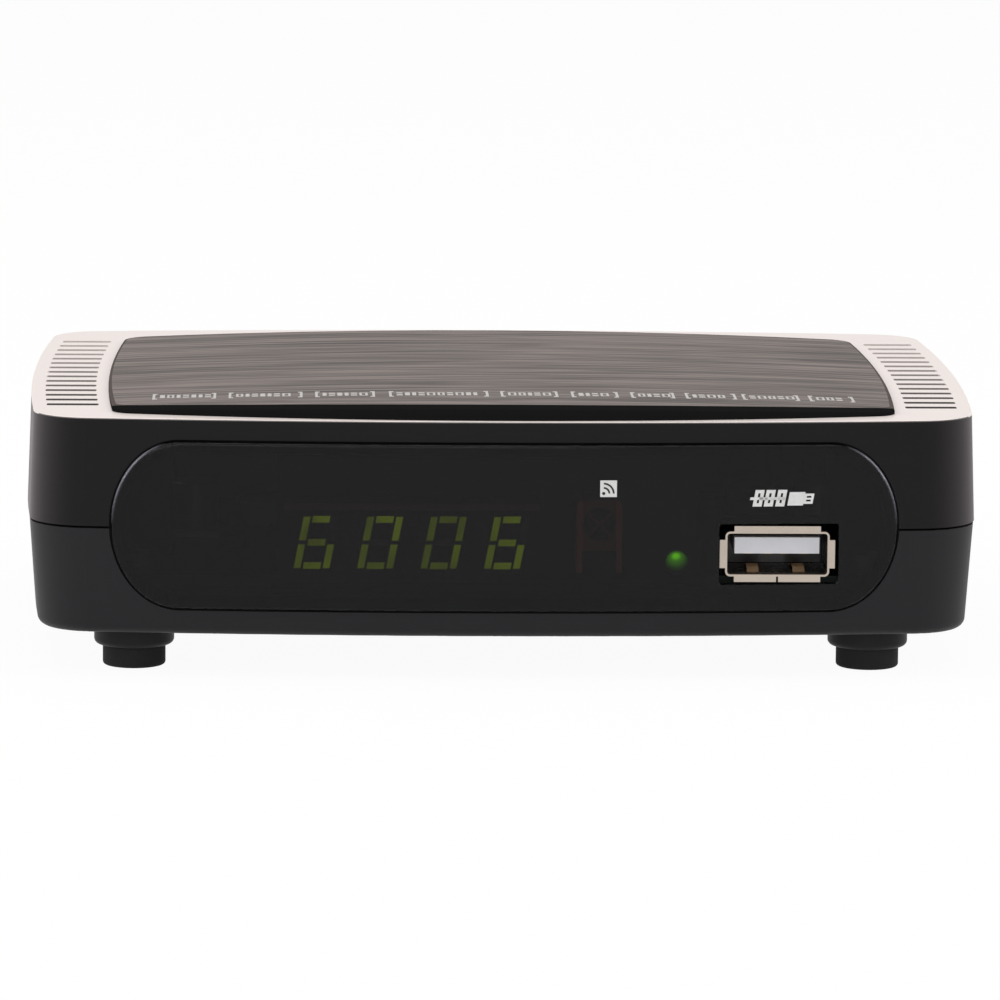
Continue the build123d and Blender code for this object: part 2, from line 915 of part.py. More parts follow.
# Case screws, cross recessed, driven up through the lower bosses
with BuildPart() as case_screws:
    screw_seat = case_bottom + screw_head_sink
    with BuildSketch(level(screw_seat)):
        with Locations(*boss_places):
            Circle(screw_head_diameter / 2)
    extrude(amount=-screw_head_height)
    with BuildSketch(level(screw_seat)):
        with Locations(*boss_places):
            Circle(screw_shank_diameter / 2)
    extrude(amount=screw_length)
    with BuildSketch(level(screw_seat - screw_head_height)):
        with Locations(*boss_places):
            Rectangle(screw_recess_width, screw_recess_blade)
            Rectangle(screw_recess_blade, screw_recess_width)
    extrude(amount=screw_recess_depth, mode=Mode.SUBTRACT)
save(case_screws, "case_screws")


# Main board with its notch for the display, boss holes and screw holes
with BuildPart() as main_board:
    with BuildSketch(level(board_bottom)):
        with Locations(at(0, board_front_depth)):
            Rectangle(board_width, board_length, align=(Align.CENTER, Align.MIN))
        fillet(vertices(), board_corner_radius)
        with Locations(at((board_notch_right + board_notch_left) / 2, board_front_depth)):
            Rectangle(
                board_notch_right - board_notch_left,
                front_board_depth - board_front_depth,
                align=(Align.CENTER, Align.MIN),
                mode=Mode.SUBTRACT,
            )
        with Locations(*boss_places):
            Circle(boss_diameter / 2 + board_boss_clearance, mode=Mode.SUBTRACT)
        with Locations(*board_screw_places):
            Circle(board_screw_hole / 2, mode=Mode.SUBTRACT)
    extrude(amount=board_thickness)
save(main_board, "main_board")


# Front board, upright behind the display
front_board_left = board_notch_left + front_board_end_gap
front_board_right = board_notch_right - front_board_end_gap
with BuildPart() as front_board:
    with BuildSketch(upright(front_board_depth)):
        with Locations(((front_board_left + front_board_right) / 2, board_top)):
            Rectangle(
                front_board_right - front_board_left,
                front_board_height,
                align=(Align.CENTER, Align.MIN),
            )
    extrude(amount=-board_thickness)
save(front_board, "front_board")


# Header that joins the two boards: a strip and its row of pins
header_depth_start = front_board_depth + board_thickness
header_length = (header_pins - 1) * header_pitch + header_pin_width + 2 * header_margin
with BuildPart() as front_header:
    with BuildSketch(level(board_top)):
        with Locations(at(display_x, header_depth_start)):
            Rectangle(header_length, header_depth, align=(Align.CENTER, Align.MIN))
    extrude(amount=header_height)
save(front_header, "front_header")

with BuildPart() as header_pins_row:
    pin_start = header_depth_start + header_depth
    with BuildSketch(level(board_top)):
        with Locations(at(display_x, pin_start + header_pin_reach / 2)):
            with GridLocations(header_pitch, 0, header_pins, 1):
                Rectangle(header_pin_width, header_pin_reach)
    extrude(amount=header_height / 2)
    fillet(edges().filter_by(Axis.X).group_by(Axis.Z)[-1].group_by(Axis.Y)[-1], header_pin_width)
save(header_pins_row, "header_pins")


# Board screws in the standoffs
with BuildPart() as board_screws:
    with BuildSketch(level(board_top)):
        with Locations(*board_screw_places):
            Circle(board_screw_head_diameter / 2)
    extrude(amount=board_screw_head_height)
    with BuildSketch(level(board_top)):
        with Locations(*board_screw_places):
            Circle(board_screw_diameter / 2)
    extrude(amount=-board_screw_length)
    with BuildSketch(level(board_top + board_screw_head_height)):
        with Locations(*board_screw_places):
            Rectangle(screw_recess_width, screw_recess_blade)
            Rectangle(screw_recess_blade, screw_recess_width)
    extrude(amount=-screw_recess_depth, mode=Mode.SUBTRACT)
save(board_screws, "board_screws")


# Data port: a rolled shell with flared lips at its mouth and tabs down to the board
data_mouth = front_fall(data_port_x) - window_proud + data_port_sink
with BuildPart() as data_port_shell:
    with BuildSketch(upright(data_mouth)):
        add(data_port_outline(0))
    extrude(amount=-data_port_length)
    with BuildSketch(upright(data_mouth)):
        add(data_port_outline(data_port_sheet))
    extrude(amount=-(data_port_length - data_port_sheet), mode=Mode.SUBTRACT)
    half_width = data_port_width / 2
    half_height = data_port_height / 2
    with BuildSketch(upright(data_mouth)):
        with Locations((data_port_x, data_port_z + half_height)):
            Rectangle(data_port_top_lip_width, data_port_lip, align=(Align.CENTER, Align.MIN))
        with Locations((data_port_x, data_port_z - half_height)):
            Rectangle(data_port_top_lip_width, data_port_lip, align=(Align.CENTER, Align.MAX))
            Rectangle(
                data_port_bottom_lip_gap,
                data_port_lip,
                align=(Align.CENTER, Align.MAX),
                mode=Mode.SUBTRACT,
            )
        with Locations((data_port_x + half_width, data_port_z)):
            Rectangle(data_port_lip, data_port_side_lip_height, align=(Align.MIN, Align.CENTER))
        with Locations((data_port_x - half_width, data_port_z)):
            Rectangle(data_port_lip, data_port_side_lip_height, align=(Align.MAX, Align.CENTER))
    extrude(amount=-data_port_sheet)
    tab_depth = data_mouth + data_port_length - data_port_tab_back
    with BuildSketch(level(board_top)):
        with Locations(
            at(data_port_x - half_width + data_port_sheet / 2, tab_depth),
            at(data_port_x + half_width - data_port_sheet / 2, tab_depth),
        ):
            Rectangle(data_port_sheet, data_port_tab_width)
    extrude(amount=data_port_axis)
save(data_port_shell, "data_port_shell")

# Its insulator: a block at the back with the tongue in front
data_tongue_top = data_port_z + data_port_height / 2 - data_port_sheet - data_tongue_gap
data_tongue_start = data_mouth + data_tongue_sink
with BuildPart() as data_port_insulator:
    with BuildSketch(upright(data_tongue_start + data_tongue_length)):
        add(data_port_outline(data_port_sheet + data_insulator_clearance))
    block_end = data_mouth + data_port_length - data_port_sheet
    extrude(amount=-(block_end - data_tongue_start - data_tongue_length))
    with BuildSketch(upright(data_tongue_start)):
        with Locations((data_port_x, data_tongue_top)):
            Rectangle(data_tongue_width, data_tongue_height, align=(Align.CENTER, Align.MAX))
    extrude(amount=-data_tongue_length)
save(data_port_insulator, "data_port_insulator")

# Its four contacts, under the tongue
with BuildPart() as data_port_contacts:
    contact_start = data_tongue_start + data_tongue_length - data_contact_length
    with BuildSketch(upright(contact_start)):
        with Locations(
            *[
                (data_port_x + side * x, data_tongue_top - data_tongue_height)
                for side in (-1, 1)
                for x in (data_contact_inner_x, data_contact_outer_x)
            ]
        ):
            Rectangle(
                data_contact_width, data_contact_thickness, align=(Align.CENTER, Align.MAX)
            )
    extrude(amount=-data_contact_length)
save(data_port_contacts, "data_port_contacts")


# Display: a housing with a window for each bar, and the bars that fill them
display_front_depth = (
    front_fall(display_x - display_width / 2) + window_recess + display_window_gap
)
with BuildPart() as display_housing:
    with BuildSketch(upright(display_front_depth)):
        with Locations((display_x, display_z)):
            Rectangle(display_width, display_height)
    extrude(amount=-(front_board_depth - display_front_depth))
    with BuildSketch(upright(display_front_depth)):
        add(digit_segments())
    extrude(amount=-(segment_sink + segment_depth), mode=Mode.SUBTRACT)
save(display_housing, "display_housing")

with BuildPart() as display_segments:
    with BuildSketch(upright(display_front_depth + segment_sink)):
        add(digit_segments())
    extrude(amount=-segment_depth)
save(display_segments, "display_segments")


# Status led, turned about its axis, and its two leads
with BuildPart() as status_led:
    led_plane = Plane(
        origin=(led_x, front_y + led_tip_depth, led_z), x_dir=(0, 1, 0), z_dir=(1, 0, 0)
    )
    with BuildSketch(led_plane):
        with BuildLine():
            TangentArc((0, 0), (led_radius, led_radius), tangent=(0, 1))
            Polyline(
                (led_radius, led_radius),
                (led_length - led_flange_thickness, led_radius),
                (led_length - led_flange_thickness, led_flange_radius),
                (led_length, led_flange_radius),
                (led_length, 0),
                (0, 0),
            )
        make_face()
    revolve(axis=Axis((led_x, front_y, led_z), (0, 1, 0)))
save(status_led, "status_led")

with BuildPart() as led_leads:
    with BuildSketch(upright(led_tip_depth + led_length)):
        with Locations((led_x, led_z)):
            with GridLocations(2 * lead_pitch, 0, 2, 1):
                Rectangle(lead_width, lead_width)
    extrude(amount=-(front_board_depth - led_tip_depth - led_length))
save(led_leads, "led_leads")


# Infrared receiver with its lens, its leads and the sheet cage around it
receiver_back = front_board_depth - receiver_back_gap
with BuildPart() as infrared_receiver:
    with BuildSketch(upright(receiver_back)):
        with Locations((receiver_x, receiver_z)):
            Rectangle(receiver_width, receiver_height)
    extrude(amount=receiver_thickness)
    with BuildSketch(upright(receiver_back - receiver_thickness)):
        with Locations((receiver_x, receiver_z)):
            Circle(receiver_lens_radius)
    extrude(amount=receiver_lens_reach)
    fillet(faces().sort_by(Axis.Y)[0].edges(), receiver_lens_round)
save(infrared_receiver, "infrared_receiver")

with BuildPart() as infrared_leads:
    with BuildSketch(upright(receiver_back)):
        with Locations((receiver_x, receiver_z)):
            with GridLocations(lead_pitch, 0, 3, 1):
                Rectangle(lead_width, lead_width)
    extrude(amount=-receiver_back_gap)
save(infrared_leads, "infrared_leads")

with BuildPart() as infrared_cage:
    cage_low = cage_z - cage_height / 2
    with BuildSketch(upright(cage_front_depth)):
        with Locations((receiver_x, cage_z)):
            Rectangle(cage_width, cage_height)
        fillet(vertices().group_by(Axis.Y)[-1], cage_corner)
    extrude(amount=-(front_board_depth - cage_front_depth))
    with BuildSketch(upright(cage_front_depth + cage_sheet)):
        with Locations((receiver_x, cage_low)):
            Rectangle(
                cage_width - 2 * cage_sheet,
                cage_height - cage_sheet,
                align=(Align.CENTER, Align.MIN),
            )
        fillet(vertices().group_by(Axis.Y)[-1], cage_corner - cage_sheet)
    extrude(amount=-(front_board_depth - cage_front_depth), mode=Mode.SUBTRACT)
    with BuildSketch(upright(cage_front_depth)):
        with Locations((receiver_x, receiver_z)):
            Circle(cage_opening_radius)
            Rectangle(2 * cage_width, cage_cross, rotation=45, mode=Mode.SUBTRACT)
            Rectangle(cage_cross, 2 * cage_width, rotation=45, mode=Mode.SUBTRACT)
        with Locations((receiver_x, cage_low)):
            Rectangle(
                cage_width - 2 * cage_leg, cage_leg_height, align=(Align.CENTER, Align.MIN)
            )
    extrude(amount=-cage_sheet, mode=Mode.SUBTRACT)
save(infrared_cage, "infrared_cage")


# Rear panel, flat, between the floor and the ceiling
with BuildPart() as rear_panel:
    with BuildSketch(upright(panel_inner_depth)):
        with Locations((0, floor_top)):
            Rectangle(
                panel_width, ceiling - floor_top - panel_gap, align=(Align.CENTER, Align.MIN)
            )
        with Locations((antenna_in_x, socket_z)):
            Circle(antenna_in_root_diameter / 2 + socket_hole_gap, mode=Mode.SUBTRACT)
        with Locations((loop_out_x, socket_z)):
            Circle(loop_out_root_diameter / 2 + socket_hole_gap, mode=Mode.SUBTRACT)
        with Locations((power_jack_x, socket_z)):
            Circle(power_jack_nose_diameter / 2 + socket_hole_gap, mode=Mode.SUBTRACT)
        with Locations(*phono_centres):
            Circle(phono_collar_diameter / 2 + socket_hole_gap, mode=Mode.SUBTRACT)
        add(video_port_outline(-socket_hole_gap), mode=Mode.SUBTRACT)
    extrude(amount=-panel_thickness)
save(rear_panel, "rear_panel")


# Phono sockets: one block, three barrels, and a coloured insulator in and around each
phono_tip = panel_depth + phono_reach
with BuildPart() as phono_block:
    with BuildSketch(level(board_top)):
        with Locations(at(phono_x, panel_inner_depth)):
            Rectangle(phono_block_width, phono_block_length, align=(Align.CENTER, Align.MAX))
    extrude(amount=phono_block_height)
save(phono_block, "phono_block")

phono_inner_diameter = phono_barrel_diameter - 2 * phono_barrel_sheet
phono_contact_diameter = phono_contact_bore + 2 * phono_contact_sheet
with BuildPart() as phono_barrels:
    with BuildSketch(upright(panel_inner_depth)):
        with Locations(*phono_centres):
            add(tube_outline(phono_barrel_diameter, phono_inner_diameter))
    extrude(amount=-(phono_tip - panel_inner_depth))
    with BuildSketch(upright(panel_inner_depth)):
        with Locations(*phono_centres):
            add(tube_outline(phono_root_diameter, phono_inner_diameter))
    extrude(amount=-(panel_thickness + phono_collar_reach))
save(phono_barrels, "phono_barrels")

for colour, centre in zip(("yellow", "white", "red"), phono_centres):
    with BuildPart() as phono_insulator:
        with BuildSketch(upright(panel_inner_depth)):
            with Locations(centre):
                add(
                    tube_outline(
                        phono_collar_diameter, phono_root_diameter + 2 * phono_collar_clearance
                    )
                )
        extrude(amount=-(panel_thickness + phono_collar_reach))
        with BuildSketch(upright(panel_inner_depth)):
            with Locations(centre):
                add(tube_outline(phono_inner_diameter, phono_contact_diameter))
        extrude(amount=-(phono_tip - phono_core_sink - panel_inner_depth))
    save(phono_insulator, "phono_insulator_" + colour)

with BuildPart() as phono_contacts:
    with BuildSketch(upright(phono_tip - phono_contact_sink)):
        with Locations(*phono_centres):
            add(tube_outline(phono_contact_diameter, phono_contact_bore))
    extrude(amount=phono_contact_length)
save(phono_contacts, "phono_contacts")


# Tuner: a folded frame, its lid and the small board inside
tuner_middle = at(tuner_x, panel_inner_depth - tuner_length / 2)
tuner_inside_width = tuner_width - 2 * tuner_sheet
tuner_inside_length = tuner_length - 2 * tuner_sheet
with BuildPart() as tuner_frame:
    with BuildSketch(level(board_top)):
        with Locations(tuner_middle):
            Rectangle(tuner_width, tuner_length)
            Rectangle(tuner_inside_width, tuner_inside_length, mode=Mode.SUBTRACT)
    extrude(amount=tuner_height)
save(tuner_frame, "tuner_frame")

with BuildPart() as tuner_lid:
    with BuildSketch(level(board_top + tuner_height)):
        with Locations(tuner_middle):
            Rectangle(tuner_width, tuner_length)
    extrude(amount=tuner_sheet)
    skirt_width = tuner_inside_width - 2 * tuner_lid_gap
    skirt_length = tuner_inside_length - 2 * tuner_lid_gap
    with BuildSketch(level(board_top + tuner_height)):
        with Locations(tuner_middle):
            Rectangle(skirt_width, skirt_length)
            Rectangle(
                skirt_width - 2 * tuner_sheet, skirt_length - 2 * tuner_sheet, mode=Mode.SUBTRACT
            )
    extrude(amount=-tuner_lid_skirt)
save(tuner_lid, "tuner_lid")

with BuildPart() as tuner_board:
    with BuildSketch(level(board_top + tuner_board_rise)):
        with Locations(tuner_middle):
            Rectangle(tuner_inside_width, tuner_inside_length)
    extrude(amount=tuner_board_thickness)
save(tuner_board, "tuner_board")


# Antenna input, a sleeve with a hollow contact, and loop output, a sleeve with a pin
antenna_tip = panel_depth + antenna_reach
with BuildPart() as antenna_in_sleeve:
    with BuildSketch(upright(panel_inner_depth)):
        with Locations((antenna_in_x, socket_z)):
            add(tube_outline(antenna_in_diameter, antenna_in_bore))
    extrude(amount=-(antenna_tip - panel_inner_depth))
    with BuildSketch(upright(panel_inner_depth)):
        with Locations((antenna_in_x, socket_z)):
            add(tube_outline(antenna_in_root_diameter, antenna_in_bore))
    extrude(amount=-panel_thickness)
save(antenna_in_sleeve, "antenna_in_sleeve")

with BuildPart() as antenna_in_insulator:
    with BuildSketch(upright(panel_inner_depth)):
        with Locations((antenna_in_x, socket_z)):
            add(tube_outline(antenna_in_bore, antenna_in_contact_diameter))
    extrude(amount=-antenna_disc_thickness)
save(antenna_in_insulator, "antenna_in_insulator")

with BuildPart() as antenna_in_contact:
    with BuildSketch(upright(panel_inner_depth)):
        with Locations((antenna_in_x, socket_z)):
            add(tube_outline(antenna_in_contact_diameter, antenna_in_contact_bore))
    extrude(amount=-(antenna_tip - antenna_in_contact_sink - panel_inner_depth))
save(antenna_in_contact, "antenna_in_contact")

with BuildPart() as loop_out_sleeve:
    with BuildSketch(upright(panel_inner_depth)):
        with Locations((loop_out_x, socket_z)):
            add(tube_outline(loop_out_diameter, loop_out_bore))
    extrude(amount=-(antenna_tip - panel_inner_depth))
    with BuildSketch(upright(panel_inner_depth)):
        with Locations((loop_out_x, socket_z)):
            add(tube_outline(loop_out_root_diameter, loop_out_bore))
    extrude(amount=-panel_thickness)
save(loop_out_sleeve, "loop_out_sleeve")

with BuildPart() as loop_out_insulator:
    with BuildSketch(upright(panel_inner_depth)):
        with Locations((loop_out_x, socket_z)):
            add(tube_outline(loop_out_bore, loop_out_pin_diameter))
    extrude(amount=-antenna_disc_thickness)
save(loop_out_insulator, "loop_out_insulator")

with BuildPart() as loop_out_pin:
    with BuildSketch(upright(panel_inner_depth)):
        with Locations((loop_out_x, socket_z)):
            Circle(loop_out_pin_diameter / 2)
    extrude(amount=-(antenna_tip - loop_out_pin_sink - panel_inner_depth))
    fillet(faces().sort_by(Axis.Y)[-1].edges(), loop_out_pin_diameter / 4)
save(loop_out_pin, "loop_out_pin")


# Video port: a folded shell with two tabs, its insulator and its contacts
video_mouth = panel_depth + video_port_reach
with BuildPart() as video_port_shell:
    with BuildSketch(upright(video_mouth)):
        add(video_port_outline(0))
    extrude(amount=video_port_length)
    with BuildSketch(upright(video_mouth)):
        add(video_port_outline(video_port_sheet))
    extrude(amount=video_port_length - video_port_sheet, mode=Mode.SUBTRACT)
    with BuildSketch(level(board_top)):
        tab_side = video_port_width / 2 - video_port_sheet / 2
        tab_depth = video_mouth - video_port_length + video_port_tab_back
        with Locations(
            at(video_port_x - tab_side, tab_depth), at(video_port_x + tab_side, tab_depth)
        ):
            Rectangle(video_port_sheet, video_port_tab_width)
    extrude(amount=video_port_axis)
save(video_port_shell, "video_port_shell")

video_back = video_mouth - video_port_length + video_port_sheet
video_tongue_length = video_mouth - video_tongue_sink - video_back - video_back_length
with BuildPart() as video_port_insulator:
    with BuildSketch(upright(video_back)):
        add(video_port_outline(video_port_sheet))
    extrude(amount=-video_back_length)
    with BuildSketch(upright(video_back + video_back_length)):
        with Locations((video_port_x, video_port_z)):
            Rectangle(video_tongue_width, video_tongue_height)
    extrude(amount=-video_tongue_length)
save(video_port_insulator, "video_port_insulator")

with BuildPart() as video_port_contacts:
    contact_offset = video_tongue_height / 2 + video_contact_thickness / 2
    with BuildSketch(upright(video_back + video_back_length)):
        with Locations((video_port_x, video_port_z + contact_offset)):
            with GridLocations(video_contact_pitch, 0, video_contacts_above, 1):
                Rectangle(video_contact_width, video_contact_thickness)
        with Locations((video_port_x, video_port_z - contact_offset)):
            with GridLocations(video_contact_pitch, 0, video_contacts_below, 1):
                Rectangle(video_contact_width, video_contact_thickness)
    extrude(amount=-video_contact_length)
save(video_port_contacts, "video_port_contacts")


# Power jack: a block with a round nose through the panel, a bore and a centre pin
power_jack_tip = panel_depth + power_jack_reach
with BuildPart() as power_jack_body:
    with BuildSketch(level(board_top)):
        with Locations(at(power_jack_x, panel_inner_depth)):
            Rectangle(power_jack_width, power_jack_length, align=(Align.CENTER, Align.MAX))
    extrude(amount=power_jack_height)
    with BuildSketch(upright(panel_inner_depth)):
        with Locations((power_jack_x, socket_z)):
            Circle(power_jack_nose_diameter / 2)
    extrude(amount=-(power_jack_tip - panel_inner_depth))
    with BuildSketch(upright(power_jack_tip)):
        with Locations((power_jack_x, socket_z)):
            Circle(power_jack_bore / 2)
    extrude(amount=power_jack_bore_depth, mode=Mode.SUBTRACT)
save(power_jack_body, "power_jack_body")

with BuildPart() as power_jack_pin:
    with BuildSketch(upright(power_jack_tip - power_jack_bore_depth)):
        with Locations((power_jack_x, socket_z)):
            Circle(power_jack_pin_diameter / 2)
    extrude(amount=-(power_jack_bore_depth - power_jack_pin_sink))
save(power_jack_pin, "power_jack_pin")


# Main chip and its heatsink
with BuildPart() as main_chip:
    with BuildSketch(level(board_top)):
        with Locations(on_board(main_chip_share)):
            Rectangle(main_chip_size, main_chip_size)
    extrude(amount=main_chip_height)
save(main_chip, "main_chip")

with BuildPart() as heatsink:
    with BuildSketch(level(board_top + main_chip_height)):
        with Locations(on_board(main_chip_share)):
            Rectangle(heatsink_size, heatsink_size)
    extrude(amount=heatsink_base)
    fin_pitch = (heatsink_size - heatsink_fin_thickness) / (heatsink_fins - 1)
    with BuildSketch(level(board_top + main_chip_height + heatsink_base)):
        with Locations(on_board(main_chip_share)):
            with GridLocations(fin_pitch, 0, heatsink_fins, 1):
                Rectangle(heatsink_fin_thickness, heatsink_size)
    extrude(amount=heatsink_fin_height)
save(heatsink, "heatsink")


def save_blocks(name, shares, width, length, height, corner):
    """Make blocks of one size at their places on the main board and write them."""
    with BuildPart() as blocks:
        with BuildSketch(level(board_top)):
            with Locations(*[on_board(share) for share in shares]):
                Rectangle(width, length)
        extrude(amount=height)
        if corner:
            fillet(blocks.edges().filter_by(Axis.Z), corner)
    save(blocks, name)


save_blocks(
    "memory_chip",
    [memory_chip_share],
    memory_chip_width,
    memory_chip_length,
    memory_chip_height,
    0,
)
save_blocks(
    "flash_chip", [flash_chip_share], flash_chip_width, flash_chip_length, flash_chip_height, 0
)
save_blocks(
    "regulator_chips", regulator_shares, regulator_width, regulator_length, regulator_height, 0
)
save_blocks(
    "crystal", [crystal_share], crystal_width, crystal_length, crystal_height, crystal_length / 3
)
save_blocks(
    "inductors", inductor_shares, inductor_size, inductor_size, inductor_height, inductor_round
)
save_blocks(
    "ceramic_capacitors", ceramic_shares, ceramic_width, ceramic_length, ceramic_height, 0
)

with BuildPart() as electrolytic_capacitors:
    with BuildSketch(level(board_top)):
        with Locations(*[on_board(share) for share in capacitor_shares]):
            Rectangle(capacitor_base, capacitor_base)
    extrude(amount=capacitor_base_height)
    with BuildSketch(level(board_top + capacitor_base_height)):
        with Locations(*[on_board(share) for share in capacitor_shares]):
            Circle(capacitor_diameter / 2)
    extrude(amount=capacitor_height)
    fillet(edges().group_by(Axis.Z)[-1], capacitor_round)
save(electrolytic_capacitors, "electrolytic_capacitors")


# Blank rating label in its recess under the case
with BuildPart() as rating_label:
    with BuildSketch(level(case_bottom + label_sink)):
        with Locations(at(0, label_depth)):
            RectangleRounded(label_width, label_length, label_round)
    extrude(amount=-label_thickness)
save(rating_label, "rating_label")
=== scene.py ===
import math

import bmesh
import bpy
from bpy.props import FloatProperty, FloatVectorProperty, PointerProperty, StringProperty
from mathutils import Matrix, Vector
from mathutils.bvhtree import BVHTree


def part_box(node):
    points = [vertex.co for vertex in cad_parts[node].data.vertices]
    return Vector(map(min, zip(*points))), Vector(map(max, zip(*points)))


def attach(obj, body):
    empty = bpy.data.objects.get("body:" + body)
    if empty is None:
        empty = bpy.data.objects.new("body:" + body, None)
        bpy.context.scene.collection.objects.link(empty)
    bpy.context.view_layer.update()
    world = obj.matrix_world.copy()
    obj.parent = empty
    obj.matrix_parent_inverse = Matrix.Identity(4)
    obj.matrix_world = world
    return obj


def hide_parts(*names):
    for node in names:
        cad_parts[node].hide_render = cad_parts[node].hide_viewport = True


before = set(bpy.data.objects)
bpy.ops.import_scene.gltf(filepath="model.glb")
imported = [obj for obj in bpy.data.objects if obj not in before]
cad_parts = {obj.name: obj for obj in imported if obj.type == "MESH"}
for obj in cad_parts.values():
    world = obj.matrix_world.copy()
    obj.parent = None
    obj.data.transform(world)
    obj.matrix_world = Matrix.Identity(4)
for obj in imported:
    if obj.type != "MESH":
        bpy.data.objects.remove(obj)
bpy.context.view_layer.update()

bl_info = {
    "name": "Terrestrial TV Receiver",
    "version": (1, 0, 0),
    "blender": (4, 5, 0),
    "location": "3D View > Sidebar > Receiver",
    "description": "Finishes, prints and the lit display of a small set-top tv receiver",
    "category": "Object",
}

# One millimetre in the frame's metres
MM = 0.001

# Places measured on the frame
PORT_LOW, PORT_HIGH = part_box("data_port_shell")
PORT_X = (PORT_LOW.x + PORT_HIGH.x) / 2
WINDOW_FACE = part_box("front_window")[0].y
SHEET_LOW, SHEET_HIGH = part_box("brushed_sheet")
PANEL_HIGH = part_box("rear_panel")[1]
CAGE_LOW, CAGE_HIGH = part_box("infrared_cage")
CAGE_X = (CAGE_LOW.x + CAGE_HIGH.x) / 2
LABEL_LOW, LABEL_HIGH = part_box("rating_label")
LAMP_LOW, LAMP_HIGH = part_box("status_led")
CASE_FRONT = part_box("upper_case")[0].y

# Each side that carries prints: a drawing's right, its up, and the way into the surface
SIDES = {
    "top": ((1, 0, 0), (0, 1, 0), (0, 0, -1)),
    "front": ((1, 0, 0), (0, 0, 1), (0, 1, 0)),
    "rear": ((-1, 0, 0), (0, 0, 1), (0, -1, 0)),
    "underside": ((1, 0, 0), (0, -1, 0), (0, 0, 1)),
}


def srgb(code):
    """Turn an sRGB hex colour into linear red, green, blue and a full alpha."""
    parts = [int(code[i:i + 2], 16) / 255 for i in (1, 3, 5)]
    return tuple(c / 12.92 if c <= 0.04045 else ((c + 0.055) / 1.055) ** 2.4 for c in parts) + (1.0,)


def tone(colour, factor):
    """A colour made lighter or darker by a factor."""
    return tuple(min(c * factor, 1.0) for c in colour[:3]) + (1.0,)


def add_node(tree, kind, inputs=None, **settings):
    """Add a node with its settings, and give its inputs values or the sockets they come from."""
    made = tree.nodes.new(kind)
    for key, value in settings.items():
        setattr(made, key, value)
    for key, value in (inputs or {}).items():
        if isinstance(value, bpy.types.NodeSocket):
            tree.links.new(value, made.inputs[key])
        else:
            made.inputs[key].default_value = value
    return made


def new_material(name, colour, roughness, metallic=0.0, specular=0.5, ior=1.5):
    """A material with one Principled shader; returns it with its tree, shader and object coordinates."""
    material = bpy.data.materials.new(name)
    material.use_nodes = True
    tree = material.node_tree
    shader = tree.nodes["Principled BSDF"]
    shader.inputs["Base Color"].default_value = colour
    shader.inputs["Roughness"].default_value = roughness
    shader.inputs["Metallic"].default_value = metallic
    shader.inputs["Specular IOR Level"].default_value = specular
    shader.inputs["IOR"].default_value = ior
    place = add_node(tree, "ShaderNodeTexCoord").outputs["Object"]
    return material, tree, shader, place


def reopen(material):
    """A finished material's tree, shader and object coordinates, for shading on top of its colour."""
    tree = material.node_tree
    place = add_node(tree, "ShaderNodeTexCoord").outputs["Object"]
    return tree, tree.nodes["Principled BSDF"], place


def per_metre(size_mm):
    """Texture scale at which one feature is about this many millimetres across."""
    return 1.0 / (size_mm * MM)


def vary_colour(tree, shader, place, size_mm, dark, light, detail=3.0):
    """Blend the base colour between two tones by a soft noise of a real size."""
    noise = add_node(
        tree, "ShaderNodeTexNoise", {"Vector": place, "Scale": per_metre(size_mm), "Detail": detail}
    )
    blend = add_node(
        tree, "ShaderNodeMix", {"Factor": noise.outputs["Fac"], "A": dark, "B": light}, data_type="RGBA"
    )
    tree.links.new(blend.outputs[2], shader.inputs["Base Color"])
    return noise


def cover_colour(tree, shader, mask, other):
    """Put another colour over what colours the surface so far, fully where the mask is one."""
    base = shader.inputs["Base Color"]
    face = base.links[0].from_socket if base.links else base.default_value[:]
    blend = add_node(tree, "ShaderNodeMix", {"Factor": mask, "A": face, "B": other}, data_type="RGBA")
    tree.links.new(blend.outputs[2], base)


def narrow_mask(tree, mask, value, test, limit):
    """Keep a mask only where a value passes the test against its limit."""
    passed = add_node(tree, "ShaderNodeMath", {0: value, 1: limit}, operation=test).outputs[0]
    return add_node(tree, "ShaderNodeMath", {0: passed, 1: mask}, operation="MULTIPLY").outputs[0]


def face_direction(tree):
    """The three parts of the surface's own direction."""
    normal = add_node(tree, "ShaderNodeNewGeometry").outputs["Normal"]
    return add_node(tree, "ShaderNodeSeparateXYZ", {"Vector": normal}).outputs


def stretched_noise(tree, place, sizes_mm, detail, roughness=0.5):
    """A noise with features of a real size of their own along each axis; None leaves an axis out."""
    scale = [per_metre(size) if size else 0.0 for size in sizes_mm]
    stretch = add_node(tree, "ShaderNodeMapping", {"Vector": place, "Scale": scale}).outputs["Vector"]
    return add_node(
        tree, "ShaderNodeTexNoise",
        {"Vector": stretch, "Scale": 1.0, "Detail": detail, "Roughness": roughness},
    ).outputs["Fac"]


def distance_across(tree, place, middle=0.0):
    """How far a point lies to either side of an upright plane that runs from front to back."""
    across = add_node(tree, "ShaderNodeSeparateXYZ", {"Vector": place}).outputs["X"]
    offset = add_node(tree, "ShaderNodeMath", {0: across, 1: middle}, operation="SUBTRACT").outputs[0]
    return add_node(tree, "ShaderNodeMath", {0: offset}, operation="ABSOLUTE").outputs[0]


def vary_roughness(tree, shader, factor, low, high):
    """Drive the roughness between two values by a factor socket."""
    spread = add_node(tree, "ShaderNodeMapRange", {"Value": factor, "To Min": low, "To Max": high})
    tree.links.new(spread.outputs["Result"], shader.inputs["Roughness"])


def raise_relief(tree, shader, height, depth_mm, strength):
    """Shade the surface as if a height socket raised it by a real depth."""
    bump = add_node(
        tree, "ShaderNodeBump", {"Height": height, "Strength": strength, "Distance": depth_mm * MM}
    )
    tree.links.new(bump.outputs["Normal"], shader.inputs["Normal"])


